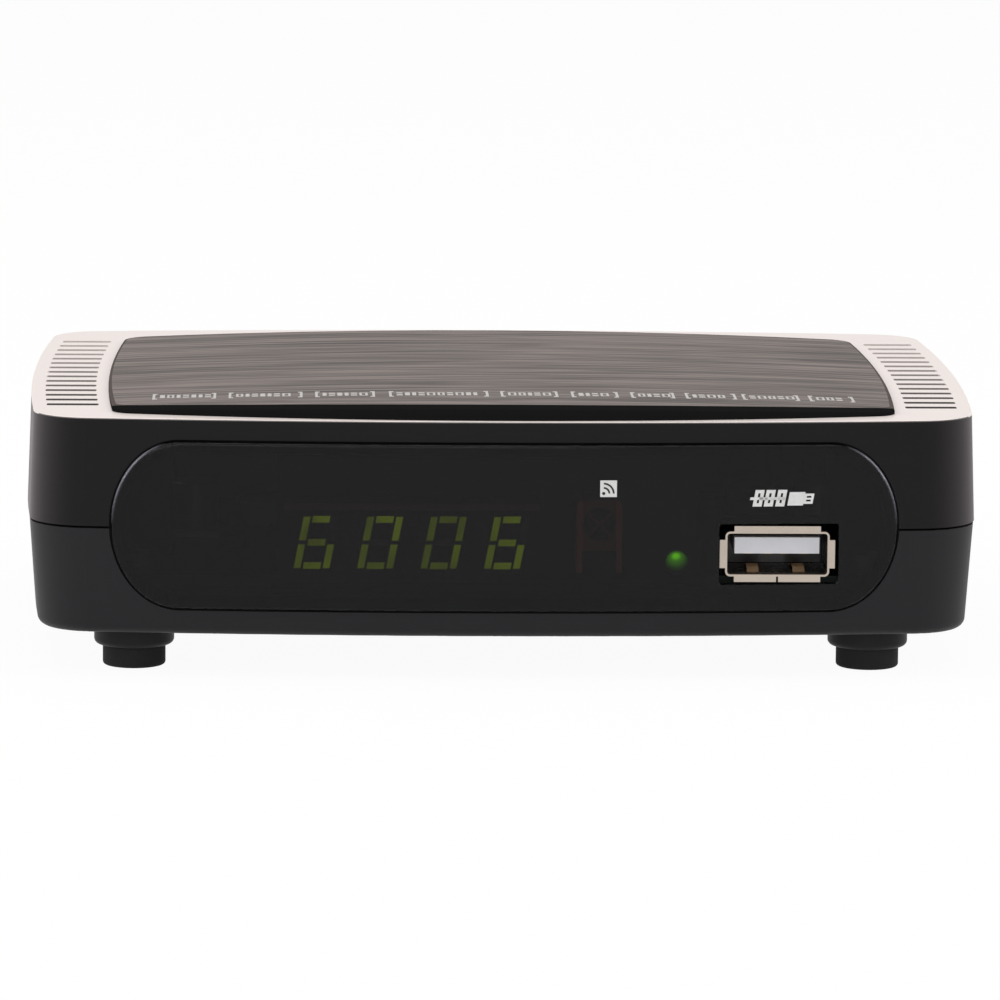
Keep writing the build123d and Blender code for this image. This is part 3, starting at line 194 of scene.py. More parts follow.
def add_grain(tree, shader, place, size_mm, depth_mm, strength):
    """Raise a fine grain on the surface, as a mould or a paint film leaves it."""
    noise = add_node(
        tree, "ShaderNodeTexNoise", {"Vector": place, "Scale": per_metre(size_mm), "Detail": 2.0}
    )
    raise_relief(tree, shader, noise.outputs["Fac"], depth_mm, strength)


def moulded_abs(name, colour, roughness, specular, sheen=None):
    """Moulded ABS: a spark-eroded mould leaves an even satin grain and a barely mottled tone.

    Where the surface turns away from the view, a painted sheen lifts its colour towards the sheen
    colour.
    """
    material, tree, shader, place = new_material(name, colour, roughness, specular=specular, ior=1.54)
    mottle = vary_colour(tree, shader, place, 9.0, tone(colour, 0.92), tone(colour, 1.08))
    if sheen is not None:
        # Painted sheen: the colour is lifted towards the sheen colour where the surface turns away from
        # the view
        turn = add_node(tree, "ShaderNodeLayerWeight", {"Blend": 0.5}).outputs["Facing"]
        painted_sheen_share = add_node(tree, "ShaderNodeMath", {0: turn, 1: 1.6}, operation="POWER").outputs[0]
        cover_colour(tree, shader, painted_sheen_share, sheen)
    vary_roughness(tree, shader, mottle.outputs["Fac"], roughness - 0.05, roughness + 0.05)
    add_grain(tree, shader, place, 0.32, 0.02, 0.25)
    return material


def painted_bezel(colour, slot_reach):
    """Silver-white paint on moulded ABS: tiny flakes sparkle in it and the film is faintly rippled.

    The walls inside the slots carry painted shading, darkest in front and fading to none at the back.
    """
    material, tree, shader, place = new_material("painted_abs_pale_silver", colour, 0.36, 0.1, 0.45)
    noise = vary_colour(tree, shader, place, 0.18, tone(colour, 0.955), tone(colour, 1.03), 1.0)
    upright = face_direction(tree)["Z"]
    behind = add_node(tree, "ShaderNodeSeparateXYZ", {"Vector": place}).outputs["Y"]
    # Painted shade on upright faces within the slots' reach, such as the slot walls: full at the first
    # slot, none at the last
    first_slot, last_slot = -30 * MM, 28 * MM
    painted_shade = add_node(
        tree, "ShaderNodeMapRange",
        {"Value": behind, "From Min": first_slot, "From Max": last_slot, "To Min": 1.0, "To Max": 0.0},
    ).outputs["Result"]
    painted_shade = narrow_mask(tree, painted_shade, upright, "LESS_THAN", 0.5)
    painted_shade = narrow_mask(tree, painted_shade, distance_across(tree, place), "LESS_THAN", slot_reach)
    cover_colour(tree, shader, painted_shade, tone(colour, 0.16))
    vary_roughness(tree, shader, noise.outputs["Fac"], 0.3, 0.42)
    add_grain(tree, shader, place, 1.1, 0.012, 0.18)
    return material


def plate_abs(colour, rim_colour, rim_start, rim_front):
    """Matt black ABS of the plate; only the two narrow rims beside the sheet are buffed to a grey."""
    material = moulded_abs("moulded_abs_deep_black", colour, 0.4, 0.0)
    tree, shader, place = reopen(material)
    upright = face_direction(tree)["Z"]
    behind = add_node(tree, "ShaderNodeSeparateXYZ", {"Vector": place}).outputs["Y"]
    rim = narrow_mask(tree, 1.0, upright, "GREATER_THAN", 0.5)
    rim = narrow_mask(tree, rim, distance_across(tree, place), "GREATER_THAN", rim_start)
    rim = narrow_mask(tree, rim, behind, "GREATER_THAN", rim_front)
    cover_colour(tree, shader, rim, rim_colour)
    return material


def brushed_aluminium(colour):
    """Brushed and tinted aluminium: long fine scratches along the width, seen as pale and dark streaks.

    Their contrast in the colour is a painted sheen: it grows where the sheet is seen at a slant, so the
    streaks stand out more there.
    """
    material, tree, shader, place = new_material(
        "brushed_aluminium_grey", tone(colour, 1.14), 0.42, 0.5, specular=0.0
    )
    # Real scratches are about 0.1 mm apart, so the coarser layers gather them into streaks that show
    streaks, bands, scratches = (
        stretched_noise(tree, place, (length_mm, spacing_mm, None), detail, 0.65)
        for length_mm, spacing_mm, detail in ((32.0, 1.0, 2.0), (80.0, 3.0, 1.0), (12.0, 0.5, 1.0))
    )
    coarse = add_node(tree, "ShaderNodeMix", {"Factor": 0.25, "A": streaks, "B": bands}).outputs[0]
    mixed = add_node(tree, "ShaderNodeMix", {"Factor": 0.2, "A": coarse, "B": scratches}).outputs[0]
    ramp = add_node(tree, "ShaderNodeValToRGB", {"Fac": mixed})
    dark, pale = ramp.color_ramp.elements
    dark.position, dark.color = 0.41, tone(colour, 0.46)
    pale.position, pale.color = 0.58, tone(colour, 1.82)
    # Painted sheen: the streaks' colour shows fully where the sheet is seen at a slant, and only partly
    # head on
    turn = add_node(tree, "ShaderNodeLayerWeight", {"Blend": 0.5}).outputs["Facing"]
    sheen = add_node(
        tree, "ShaderNodeMapRange",
        {"Value": turn, "From Min": 0.1, "From Max": 0.85, "To Min": 0.35, "To Max": 1.0},
    ).outputs["Result"]
    cover_colour(tree, shader, sheen, ramp.outputs["Color"])
    vary_roughness(tree, shader, mixed, 0.34, 0.5)
    raise_relief(tree, shader, scratches, 0.01, 0.2)
    return material


def smoked_acrylic(colour, opacity):
    """Polished smoked acrylic: dark and glossy, the lit display shows through, and its rounded edge
    carries a painted highlight.
    """
    material, tree, shader, place = new_material(
        "smoked_acrylic_polished", colour, 0.09, specular=0.25, ior=1.49
    )
    haze = add_node(
        tree, "ShaderNodeTexNoise", {"Vector": place, "Scale": per_metre(14.0), "Detail": 2.0}
    )
    vary_roughness(tree, shader, haze.outputs["Fac"], 0.06, 0.14)
    turn = face_direction(tree)
    sideways = add_node(tree, "ShaderNodeMath", {0: turn["X"]}, operation="ABSOLUTE").outputs[0]
    # Painted highlight: where the rounded edge faces sideways and up, its colour is lifted towards a
    # pale grey
    painted_highlight = 1.0
    for value, low, high in ((sideways, 0.25, 0.6), (turn["Z"], 0.0, 0.3)):
        share = add_node(
            tree, "ShaderNodeMapRange", {"Value": value, "From Min": low, "From Max": high}
        ).outputs["Result"]
        painted_highlight = add_node(tree, "ShaderNodeMath", {0: share, 1: painted_highlight}, operation="MULTIPLY").outputs[0]
    cover_colour(tree, shader, painted_highlight, srgb("#8A8A94"))
    shader.inputs["Alpha"].default_value = opacity
    return material


def moulded_gloss(name, colour, roughness=0.28):
    """Moulded polystyrene or polyamide in a plain colour: smooth, with a faint flow mottle."""
    material, tree, shader, place = new_material(name, colour, roughness, specular=0.4, ior=1.53)
    flow = vary_colour(tree, shader, place, 2.5, tone(colour, 0.93), tone(colour, 1.06))
    vary_roughness(tree, shader, flow.outputs["Fac"], roughness - 0.06, roughness + 0.08)
    add_grain(tree, shader, place, 0.5, 0.01, 0.15)
    return material


def moulded_rubber(colour):
    """Moulded rubber: matt, slightly dusty, with a coarse even skin."""
    material, tree, shader, place = new_material("moulded_rubber", colour, 0.82, specular=0.25, ior=1.52)
    vary_colour(tree, shader, place, 1.6, tone(colour, 0.8), tone(colour, 1.25), 5.0)
    add_grain(tree, shader, place, 0.4, 0.05, 0.4)
    return material


def darken_inside(material, start_mm, reach_mm, lost):
    """Take light from the colour behind the data port's mouth, as it is lost inside a narrow socket."""
    tree, shader, place = reopen(material)
    depth = add_node(tree, "ShaderNodeSeparateXYZ", {"Vector": place}).outputs["Y"]
    start = PORT_LOW.y + start_mm * MM
    painted_shade = add_node(
        tree, "ShaderNodeMapRange",
        {"Value": depth, "From Min": start, "From Max": start + reach_mm * MM, "To Max": lost},
    ).outputs["Result"]
    cover_colour(tree, shader, painted_shade, (0.0, 0.0, 0.0, 1.0))


def plated_metal(name, colour, roughness):
    """Plated sheet metal: bright, with a smudged sheen and fine rolling lines."""
    material, tree, shader, place = new_material(name, colour, roughness, 1.0)
    smudge = vary_colour(tree, shader, place, 3.0, tone(colour, 0.86), tone(colour, 1.1), 5.0)
    vary_roughness(tree, shader, smudge.outputs["Fac"], roughness * 0.75, roughness * 1.4)
    lines = stretched_noise(tree, place, (1.2, 1.2, 0.12), 2.0)
    raise_relief(tree, shader, lines, 0.01, 0.15)
    return material


def coppered_sheet(colour, middle, edge_mm):
    """Coppered sheet metal, darker between its two bent edges than along them."""
    material = plated_metal("coppered_sheet", colour, 0.4)
    tree, shader, place = reopen(material)
    blur_mm = 0.3
    darker_middle = add_node(
        tree, "ShaderNodeMapRange",
        {"Value": distance_across(tree, place, middle), "From Min": (edge_mm - blur_mm) * MM,
         "From Max": edge_mm * MM, "To Min": 0.6, "To Max": 0.0},
    ).outputs["Result"]
    cover_colour(tree, shader, darker_middle, tone(colour, 0.15))
    return material


def circuit_laminate(name, mask, track, pitch_mm):
    """Laminate of a circuit board under its solder mask: copper tracks show through as paler bands."""
    material, tree, shader, place = new_material(name, mask, 0.38, specular=0.45)
    bands = add_node(
        tree, "ShaderNodeTexBrick",
        {"Vector": place, "Color1": mask, "Color2": tone(track, 0.85), "Mortar": tone(mask, 0.7),
         "Scale": per_metre(pitch_mm * 4), "Mortar Size": 0.012, "Brick Width": 0.9, "Row Height": 0.22},
        offset=0.37, squash=1.4,
    ).outputs
    tree.links.new(bands["Color"], shader.inputs["Base Color"])
    weave = add_node(
        tree, "ShaderNodeTexNoise", {"Vector": place, "Scale": per_metre(5.0), "Detail": 4.0}
    )
    cover_colour(tree, shader, weave.outputs["Fac"], track)
    raise_relief(tree, shader, bands["Fac"], 0.03, 0.3)
    return material


def lit_resin(name, colour, glow, strength):
    """Tinted diffusing resin with a lamp behind it, so that its colour glows."""
    material, tree, shader, place = new_material(name, colour, 0.35, specular=0.3)
    vary_colour(tree, shader, place, 0.6, tone(colour, 0.9), tone(colour, 1.1))
    shader.inputs["Emission Color"].default_value = glow
    patches = add_node(
        tree, "ShaderNodeTexNoise", {"Vector": place, "Scale": per_metre(4.5), "Detail": 1.0}
    )
    level = add_node(
        tree, "ShaderNodeMapRange",
        {"Value": patches.outputs["Fac"], "From Min": 0.35, "From Max": 0.65, "To Min": strength * 0.7,
         "To Max": strength * 1.25},
    )
    tree.links.new(level.outputs["Result"], shader.inputs["Emission Strength"])
    return material


def lamp_resin(colour, glow, strength, centre, reach_mm):
    """Clear tinted resin of a lit lamp: bright at the die inside its dome, dim at the reach from it."""
    material, tree, shader, place = new_material("lamp_resin_green", colour, 0.15, specular=0.4)
    distance = add_node(
        tree, "ShaderNodeVectorMath", {0: place, 1: centre}, operation="DISTANCE"
    ).outputs["Value"]
    share = add_node(tree, "ShaderNodeMath", {0: distance, 1: per_metre(reach_mm)}, operation="MULTIPLY")
    fade = add_node(tree, "ShaderNodeValToRGB", {"Fac": share.outputs[0]})
    steps = fade.color_ramp.elements
    steps[0].position, steps[0].color = 0.12, (1.0, 1.0, 1.0, 1.0)
    steps[1].position, steps[1].color = 1.0, (0.0, 0.0, 0.0, 1.0)
    for position, level in ((0.36, 0.3), (0.75, 0.06)):
        steps.new(position).color = (level, level, level, 1.0)
    power = add_node(
        tree, "ShaderNodeMath", {0: fade.outputs["Color"], 1: strength}, operation="MULTIPLY"
    )
    shader.inputs["Emission Color"].default_value = glow
    tree.links.new(power.outputs[0], shader.inputs["Emission Strength"])
    return material


def printed_ink(name, colour):
    """Screen-printed ink: a flat matt film, a little uneven where the mesh left it thin."""
    material, tree, shader, place = new_material(name, colour, 0.55, specular=0.3)
    vary_colour(tree, shader, place, 0.35, tone(colour, 0.86), tone(colour, 1.04), 2.0)
    return material


def finish(material, *nodes):
    """Give the material to every slot of these parts of the frame."""
    for name in nodes:
        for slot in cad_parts[name].material_slots:
            slot.material = material


def new_piece(name, bm, materials, replaced=()):
    """Turn a bmesh into a piece that rides on the receiver."""
    mesh = bpy.data.meshes.new(name)
    bm.to_mesh(mesh)
    bm.free()
    piece = bpy.data.objects.new(name, mesh)
    bpy.context.scene.collection.objects.link(piece)
    for material in materials:
        mesh.materials.append(material)
    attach(piece, "root")
    if replaced:
        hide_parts(*replaced)
    return piece


def surface_of(node):
    """Search tree of one part's triangles, for laying prints on its surface."""
    bm = bmesh.new()
    bm.from_mesh(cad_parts[node].data)
    tree = BVHTree.FromBMesh(bm)
    bm.free()
    return tree


def drawing_place(centre, turn=0.0):
    """A place on a drawing, turned by some degrees."""
    return Matrix.Translation((*centre, 0.0)) @ Matrix.Rotation(math.radians(turn), 4, "Z")


def add_bar(bm, centre, size, turn=0.0):
    """A flat bar in millimetres, with cuts across it so that it can follow a crowned surface."""
    place = drawing_place(centre, turn) @ Matrix.Diagonal((*size, 1.0, 1.0))
    bmesh.ops.create_grid(bm, x_segments=4, y_segments=1, size=0.5, matrix=place)


def add_disc(bm, centre, radius, sides=24):
    """A filled disc in millimetres."""
    bmesh.ops.create_circle(
        bm, cap_ends=True, cap_tris=True, segments=sides, radius=radius, matrix=drawing_place(centre)
    )


def add_arc(bm, centre, radius, stroke, sweep=360.0, sides=24):
    """A ring, or a part of one from its right side on, of even stroke, in millimetres."""
    start = drawing_place(centre)
    inner = bm.verts.new(start @ Vector((radius - stroke / 2, 0.0, 0.0)))
    outer = bm.verts.new(start @ Vector((radius + stroke / 2, 0.0, 0.0)))
    edge = bm.edges.new((inner, outer))
    bmesh.ops.spin(
        bm, geom=[inner, outer, edge], cent=(*centre, 0.0), axis=(0.0, 0.0, 1.0),
        angle=math.radians(sweep), steps=sides, use_merge=sweep == 360.0, use_duplicate=False,
    )


def add_frame(bm, centre, size, stroke):
    """A rectangle drawn as four bars, in millimetres."""
    x, y = centre
    width, height = size
    for side in (-1, 1):
        add_bar(bm, (x, y + side * (height - stroke) / 2), (width, stroke))
        add_bar(bm, (x + side * (width - stroke) / 2, y), (stroke, height - 2 * stroke))


def new_print(name, bm, origin, side, node, ink, coats=1.0):
    """Lay a drawing in millimetres on a part's surface as a thin film of ink, and make a piece of it.

    The drawing's own axes become the side's right and up at the origin, and every point is pushed
    inwards until it meets the surface.
    """
    right, up, inwards = (Vector(axis) for axis in SIDES[side])
    surface = surface_of(node)
    thickness = bpy.context.scene.receiver_sizes.print_thickness * coats
    lift = 40 * MM
    for vert in bm.verts:
        flat = origin + right * (vert.co.x * MM) + up * (vert.co.y * MM)
        hit = surface.ray_cast(flat - inwards * lift, inwards)[0]
        if hit is None:
            raise RuntimeError(f"{name} lies beyond the surface that should carry it")
        vert.co = hit
    bmesh.ops.remove_doubles(bm, verts=bm.verts, dist=0.002 * MM)
    for face in bm.faces:
        face.normal_update()
        if face.normal.dot(inwards) > 0:
            face.normal_flip()
    skin = bmesh.ops.extrude_face_region(bm, geom=bm.faces[:])
    raised = [part for part in skin["geom"] if isinstance(part, bmesh.types.BMVert)]
    bmesh.ops.translate(bm, verts=raised, vec=-inwards * thickness)
    sunk = [vert for vert in bm.verts if vert not in set(raised)]
    bmesh.ops.translate(bm, verts=sunk, vec=inwards * thickness / 2)
    bmesh.ops.recalc_face_normals(bm, faces=bm.faces)
    new_piece(name, bm, [ink])


def colour_choice(name, description, code):
    """A finish's colour that a user may change."""
    return FloatVectorProperty(
        name=name, description=description, subtype="COLOR", size=4, min=0, max=1, default=srgb(code))


class ReceiverColours(bpy.types.PropertyGroup):
    """Colours of the receiver's outer finishes."""

    upper_case: colour_choice("Upper case", "Black ABS of the upper shell and the rear panel", "#181718")
    lower_case: colour_choice("Lower case", "Charcoal ABS of the lower shell and its feet", "#232325")
    bezel: colour_choice("Bezel", "Pale silver paint of the frame with the vent slots", "#EADFDA")
    brushed_sheet: colour_choice("Brushed sheet", "Tinted brushed aluminium on the crown", "#665D59")
    window: colour_choice("Window", "Smoked acrylic of the front window", "#0C0C0D")
    rubber: colour_choice("Rubber feet", "Moulded rubber of the four pads", "#201F20")
    digits: colour_choice("Lit digits", "Light of the display's lit bars", "#B6D208")
    lamp: colour_choice("Status lamp", "Light of the green status lamp", "#74E010")
    ink: colour_choice("Printed ink", "Pale ink of the marks on the window and the panel", "#DEDEDC")


class ReceiverSizes(bpy.types.PropertyGroup):
    """Sizes of the looks that a user may change."""

    print_thickness: FloatProperty(
        name="Print thickness", description="How far printed ink stands proud of its surface",
        unit="LENGTH", precision=5, min=0.000005, max=0.0002, default=0.03 * MM)
    window_opacity: FloatProperty(
        name="Window opacity", description="How much light each face of the smoked window stops",
        subtype="FACTOR", min=0, max=1, default=0.68)
    digit_glow: FloatProperty(
        name="Digit glow", description="Strength of the display's lit bars", min=0, max=50, default=0.68)
    lamp_glow: FloatProperty(
        name="Lamp glow", description="Strength of the status lamp", min=0, max=50, default=3.9)
    shown_number: StringProperty(
        name="Shown number", description="The four figures on the display", maxlen=4, default="6006")


class ReceiverStage(bpy.types.PropertyGroup):
    """Camera and light."""

    camera_place: FloatVectorProperty(
        name="Camera place", description="Camera from the foot of the front face's middle",
        unit="LENGTH", size=3, default=(-28.18 * MM, -805.22 * MM, 149.32 * MM))
    camera_yaw: FloatProperty(
        name="Yaw", description="Turn of the view to the right", subtype="ANGLE",
        default=math.radians(1.952))
    camera_pitch: FloatProperty(
        name="Pitch", description="Tilt of the view downwards", subtype="ANGLE",
        default=math.radians(8.903))
    camera_roll: FloatProperty(
        name="Roll", description="Roll of the view", subtype="ANGLE", default=math.radians(0.493))
    camera_lens: FloatProperty(
        name="Lens", description="Focal length on a 36 mm sensor", subtype="DISTANCE_CAMERA",
        default=234.0)
    room_level: FloatProperty(
        name="Room level", description="Diffuse light of the pale room", min=0, max=2, default=0.55)
    side_power: FloatProperty(
        name="Side lights", description="Power of each of the two soft boxes at the sides",
        subtype="POWER", min=0, default=3.9)
    top_power: FloatProperty(
        name="Top light", description="Power of the soft box above", subtype="POWER", min=0, default=3.6)
    front_power: FloatProperty(
        name="Front light", description="Power of the soft box in front", subtype="POWER", min=0,
        default=2.5)


class RECEIVER_OT_case(bpy.types.Operator):
    """Finish the two case halves, the feet and the case screws"""

    bl_idname = "receiver.case"
    bl_label = "Case and feet"

    def execute(self, context):
        colours = context.scene.receiver_colours
        # Each half's last colour is its painted sheen colour, shown where the surface turns away from
        # the view
        upper = moulded_abs("moulded_abs_black", colours.upper_case[:], 0.44, 0.1, srgb("#625A5C"))
        finish(upper, "upper_case")
        lower = moulded_abs("moulded_abs_charcoal", colours.lower_case[:], 0.5, 0.12, srgb("#3A3738"))
        finish(lower, "lower_case")
        finish(moulded_rubber(colours.rubber[:]), "rubber_feet")
        finish(plated_metal("zinc_plated_steel", srgb("#9D9D98"), 0.38), "case_screws", "board_screws")
        return {"FINISHED"}


# How far inside the bezel's sides its slots end, in millimetres
SLOT_MARGIN = 2.0


class RECEIVER_OT_bezel(bpy.types.Operator):
    """Finish the pale bezel with its vent slots"""

    bl_idname = "receiver.bezel"
    bl_label = "Bezel"

    def execute(self, context):
        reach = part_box("top_bezel")[1].x - SLOT_MARGIN * MM
        finish(painted_bezel(context.scene.receiver_colours.bezel[:], reach), "top_bezel")
        return {"FINISHED"}


# Ten groups of marks on the sheet: each group's left and right end in millimetres from the middle
GROUP_ENDS = [
    (-44.6, -36.5), (-34.9, -25.5), (-23.9, -16.3), (-14.5, -1.85), (-0.3, 7.0),
    (8.7, 14.7), (16.3, 21.9), (23.3, 29.8), (30.6, 37.9), (39.2, 45.0),
]
# The row in millimetres: its ends' near edge behind the case's front, and its brackets' height
GROUP_DEPTH = 13.85
GROUP_HEIGHT = 5.0
# The row bows forward in its middle, as the plate's front edge does, and no more at its reach
GROUP_BOW = 2.4
GROUP_REACH = 45.0
# A bracket's stroke, and the width and height of its two hooks
BRACKET_STROKE = 0.34
HOOK_WIDTH, HOOK_HEIGHT = 0.24, 0.7
# The marks between the brackets: their five widths, full and short height, ring stroke and gaps
MARK_WIDTHS = (0.62, 0.9, 0.5, 0.78, 1.05)
MARK_HEIGHT, SHORT_MARK = 2.6, 0.9
MARK_STROKE = 0.3
MARK_GAP, FIRST_GAP, LAST_GAP = 0.3, 0.95, 1.3
# The plate's buffed rims: how far in from the sheet's sides and how far behind its front they begin
RIM_REACH, RIM_FRONT = 2.6, 5.5


def draw_group(bm, left, right, seed):
    """Two brackets and between them a dense row of small plain blocks and rings, drawn by counting."""
    for side, edge in ((1, left), (-1, right)):
        add_bar(bm, (edge + side * BRACKET_STROKE / 2, 0.0), (BRACKET_STROKE, GROUP_HEIGHT))
        for end in (-1, 1):
            x = edge + side * (BRACKET_STROKE + HOOK_WIDTH / 2)
            add_bar(bm, (x, end * (GROUP_HEIGHT - HOOK_HEIGHT) / 2), (HOOK_WIDTH, HOOK_HEIGHT))
    x = left + FIRST_GAP
    count = seed
    while x < right - LAST_GAP:
        kind = count % len(MARK_WIDTHS)
        width = MARK_WIDTHS[kind]
        if kind in (1, 4):
            add_frame(bm, (x + width / 2, 0.0), (width, MARK_HEIGHT), MARK_STROKE)
        elif kind == 3:
            for end in (-1, 1):
                add_bar(bm, (x + width / 2, end * (MARK_HEIGHT - SHORT_MARK) / 2), (width, SHORT_MARK))
        else:
            add_bar(bm, (x + width / 2, 0.0), (width, MARK_HEIGHT))
        x += width + MARK_GAP
        count += 1 + (count // 3) % 2


class RECEIVER_OT_top_plate(bpy.types.Operator):
    """Finish the crowned top plate and print ten bracketed groups of generic marks on its sheet"""

    bl_idname = "receiver.top_plate"
    bl_label = "Top plate and sheet"

    def execute(self, context):
        rim_start, rim_front = SHEET_HIGH.x - RIM_REACH * MM, SHEET_LOW.y + RIM_FRONT * MM
        finish(plate_abs(srgb("#1A1A1A"), srgb("#5C5552"), rim_start, rim_front), "top_plate")
        finish(brushed_aluminium(context.scene.receiver_colours.brushed_sheet[:]), "brushed_sheet")
        bm = bmesh.new()
        for index, (left, right) in enumerate(GROUP_ENDS):
            draw_group(bm, left, right, index)
        for vert in bm.verts:
            vert.co.y -= GROUP_BOW * (1.0 - (vert.co.x / GROUP_REACH) ** 2)
        origin = Vector((0.0, CASE_FRONT + (GROUP_DEPTH + GROUP_HEIGHT / 2) * MM, SHEET_HIGH.z))
        ink = printed_ink("screen_ink_grey", srgb("#BFBCB9"))
        new_print("sheet_marks", bm, origin, "top", "brushed_sheet", ink)
        return {"FINISHED"}


# The two signs on the window in millimetres: their middles right of and above the part under them
PORT_SIGN_PLACE = (0.9, 3.6)
TILE_PLACE = (0.87, 2.13)
TILE_SIZE = 2.1
# The dot on the tile from its middle, and the radii of the two waves round that dot
WAVE_DOT = (-0.6, -0.6)
WAVE_RADII = (0.7, 1.25)
WAVE_STROKE, DOT_RADIUS = 0.22, 0.2


def draw_port_sign(bm):
    """A leaning plug, in millimetres: ribbed cable, grip and metal end with two small windows."""
    cable, ribs, grip, metal_end = (-2.15, -0.05), (-3.25, -1.9, -0.5), (1.35, -0.1), (2.85, -0.1)
    add_bar(bm, cable, (4.2, 0.34))
    for x in ribs:
        add_frame(bm, (x, 0.0), (1.1, 2.1), 0.42)
    add_bar(bm, grip, (1.9, 1.7))
    add_frame(bm, metal_end, (1.15, 1.3), 0.3)
    add_bar(bm, metal_end, (0.55, 0.24))
    slant, stretch = 0.18, 1.045
    lean = Matrix.Shear("XZ", 4, (slant, 0.0)) @ Matrix.Diagonal((stretch, 1.0, 1.0, 1.0))
    bmesh.ops.transform(bm, matrix=lean, verts=bm.verts)


class RECEIVER_OT_window(bpy.types.Operator):
    """Finish the smoked window and print its two generic signs"""

    bl_idname = "receiver.window"
    bl_label = "Front window"

    def execute(self, context):
        colours = context.scene.receiver_colours
        sizes = context.scene.receiver_sizes
        finish(smoked_acrylic(colours.window[:], sizes.window_opacity), "front_window")
        finish(moulded_rubber(srgb("#0C0C0C")), "window_tape")
        ink = printed_ink("screen_ink_white", colours.ink[:])
        dark_ink = printed_ink("screen_ink_black", srgb("#1A1A1A"))

        # The plug's sign over the data port
        bm = bmesh.new()
        draw_port_sign(bm)
        right, above = PORT_SIGN_PLACE
        origin = Vector((PORT_X + right * MM, WINDOW_FACE, PORT_HIGH.z + above * MM))
        new_print("port_sign", bm, origin, "front", "front_window", ink)

        # A small pale tile over the infrared receiver, and on it two dark waves and their dot
        bm = bmesh.new()
        add_bar(bm, (0.0, 0.0), (TILE_SIZE, TILE_SIZE))
        right, above = TILE_PLACE
        origin = Vector((CAGE_X + right * MM, WINDOW_FACE, CAGE_HIGH.z + above * MM))
        new_print("infrared_tile", bm, origin, "front", "front_window", ink)
        bm = bmesh.new()
        add_disc(bm, WAVE_DOT, DOT_RADIUS, sides=12)
        for radius in WAVE_RADII:
            add_arc(bm, WAVE_DOT, radius, WAVE_STROKE, sweep=90.0, sides=10)
        new_print("infrared_waves", bm, origin, "front", "front_window", dark_ink, 1.6)
        return {"FINISHED"}


# The bars that make each figure, by their usual letters: a on top, b and c down the right side, d at the
# bottom, e and f up the left side and g in the middle
FIGURE_BARS = {
    "0": "abcdef", "1": "bc", "2": "abdeg", "3": "abcdg", "4": "bcfg", "5": "acdfg", "6": "acdefg",
    "7": "abc", "8": "abcdefg", "9": "abcdfg", " ": "",
}
# The four figures: how far each lies from the next in millimetres, and their lean
FIGURES = 4
FIGURE_PITCH = 8.0
FIGURE_SLANT = 0.195
# The lamp's die from the middle of the lamp's front, in millimetres
LAMP_DIE = Vector((-0.2, 0.5, 1.1))


def bar_letter(x, z, width, height):
    """Which bar of a figure stands at this place, measured from the figure's middle."""
    if abs(x) < width / 4:
        return "g" if abs(z) < height / 4 else "a" if z > 0 else "d"
    if x > 0:
        return "b" if z > 0 else "c"
    return "f" if z > 0 else "e"


def loose_parts(bm):
    """The faces of each part of a mesh that hangs together, part by part."""
    seen = set()
    for start in bm.faces:
        if start in seen:
            continue
        part, stack = [], [start]
        seen.add(start)
        while stack:
            face = stack.pop()
            part.append(face)
            for edge in face.edges:
                for other in edge.link_faces:
                    if other not in seen:
                        seen.add(other)
                        stack.append(other)
        yield part


class RECEIVER_OT_display(bpy.types.Operator):
    """Light four plain figures on the display and finish what stands behind the window"""

    bl_idname = "receiver.display"
    bl_label = "Display and indicators"

    def execute(self, context):
        colours = context.scene.receiver_colours
        sizes = context.scene.receiver_sizes
        # The display's case, with the reddish edge of its filter along the top
        housing = moulded_gloss("moulded_display_black", srgb("#0C0606"), 0.5)
        tree, shader, place = reopen(housing)
        rise = add_node(tree, "ShaderNodeSeparateXYZ", {"Vector": place}).outputs["Z"]
        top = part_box("display_housing")[1].z
        edge = add_node(
            tree, "ShaderNodeMapRange",
            {"Value": rise, "From Min": top - 1.0 * MM, "From Max": top - 0.8 * MM},
        ).outputs["Result"]
        cover_colour(tree, shader, edge, srgb("#93504E"))
        finish(housing, "display_housing")
        finish(moulded_gloss("infrared_resin_black", srgb("#120E12"), 0.2), "infrared_receiver")
        finish(coppered_sheet(srgb("#F08878"), CAGE_X, 2.25), "infrared_cage")
        middle = (LAMP_LOW + LAMP_HIGH) / 2
        die = Vector((middle.x, LAMP_LOW.y, middle.z)) + LAMP_DIE * MM
        finish(lamp_resin(srgb("#1C2C12"), colours.lamp[:], sizes.lamp_glow, die, 2.0), "status_led")

        # The figures: every bar is lit or dark by its place on its figure
        lit = lit_resin("display_bar_lit", srgb("#59661B"), colours.digits[:], sizes.digit_glow)
        dark = moulded_gloss("display_bar_dark", srgb("#6E4040"), 0.4)
        bm = bmesh.new()
        bm.from_mesh(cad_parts["display_segments"].data)
        bmesh.ops.remove_doubles(bm, verts=bm.verts, dist=0.001 * MM)
        low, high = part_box("display_segments")
        centre = (low + high) / 2
        height = high.z - low.z
        pitch = FIGURE_PITCH * MM
        width = high.x - low.x - (FIGURES - 1) * pitch - FIGURE_SLANT * height
        for bar in loose_parts(bm):
            verts = {vert for face in bar for vert in face.verts}
            middle = sum((vert.co for vert in verts), Vector()) / len(verts) - centre
            x = middle.x - FIGURE_SLANT * middle.z
            figure = min(FIGURES - 1, max(0, int(x / pitch + FIGURES / 2)))
            letter = bar_letter(x - (figure - (FIGURES - 1) / 2) * pitch, middle.z, width, height)
            on = letter in FIGURE_BARS[sizes.shown_number[figure]]
            for face in bar:
                face.material_index = 0 if on else 1
        new_piece("display_figures", bm, [lit, dark], ["display_segments"])
        return {"FINISHED"}


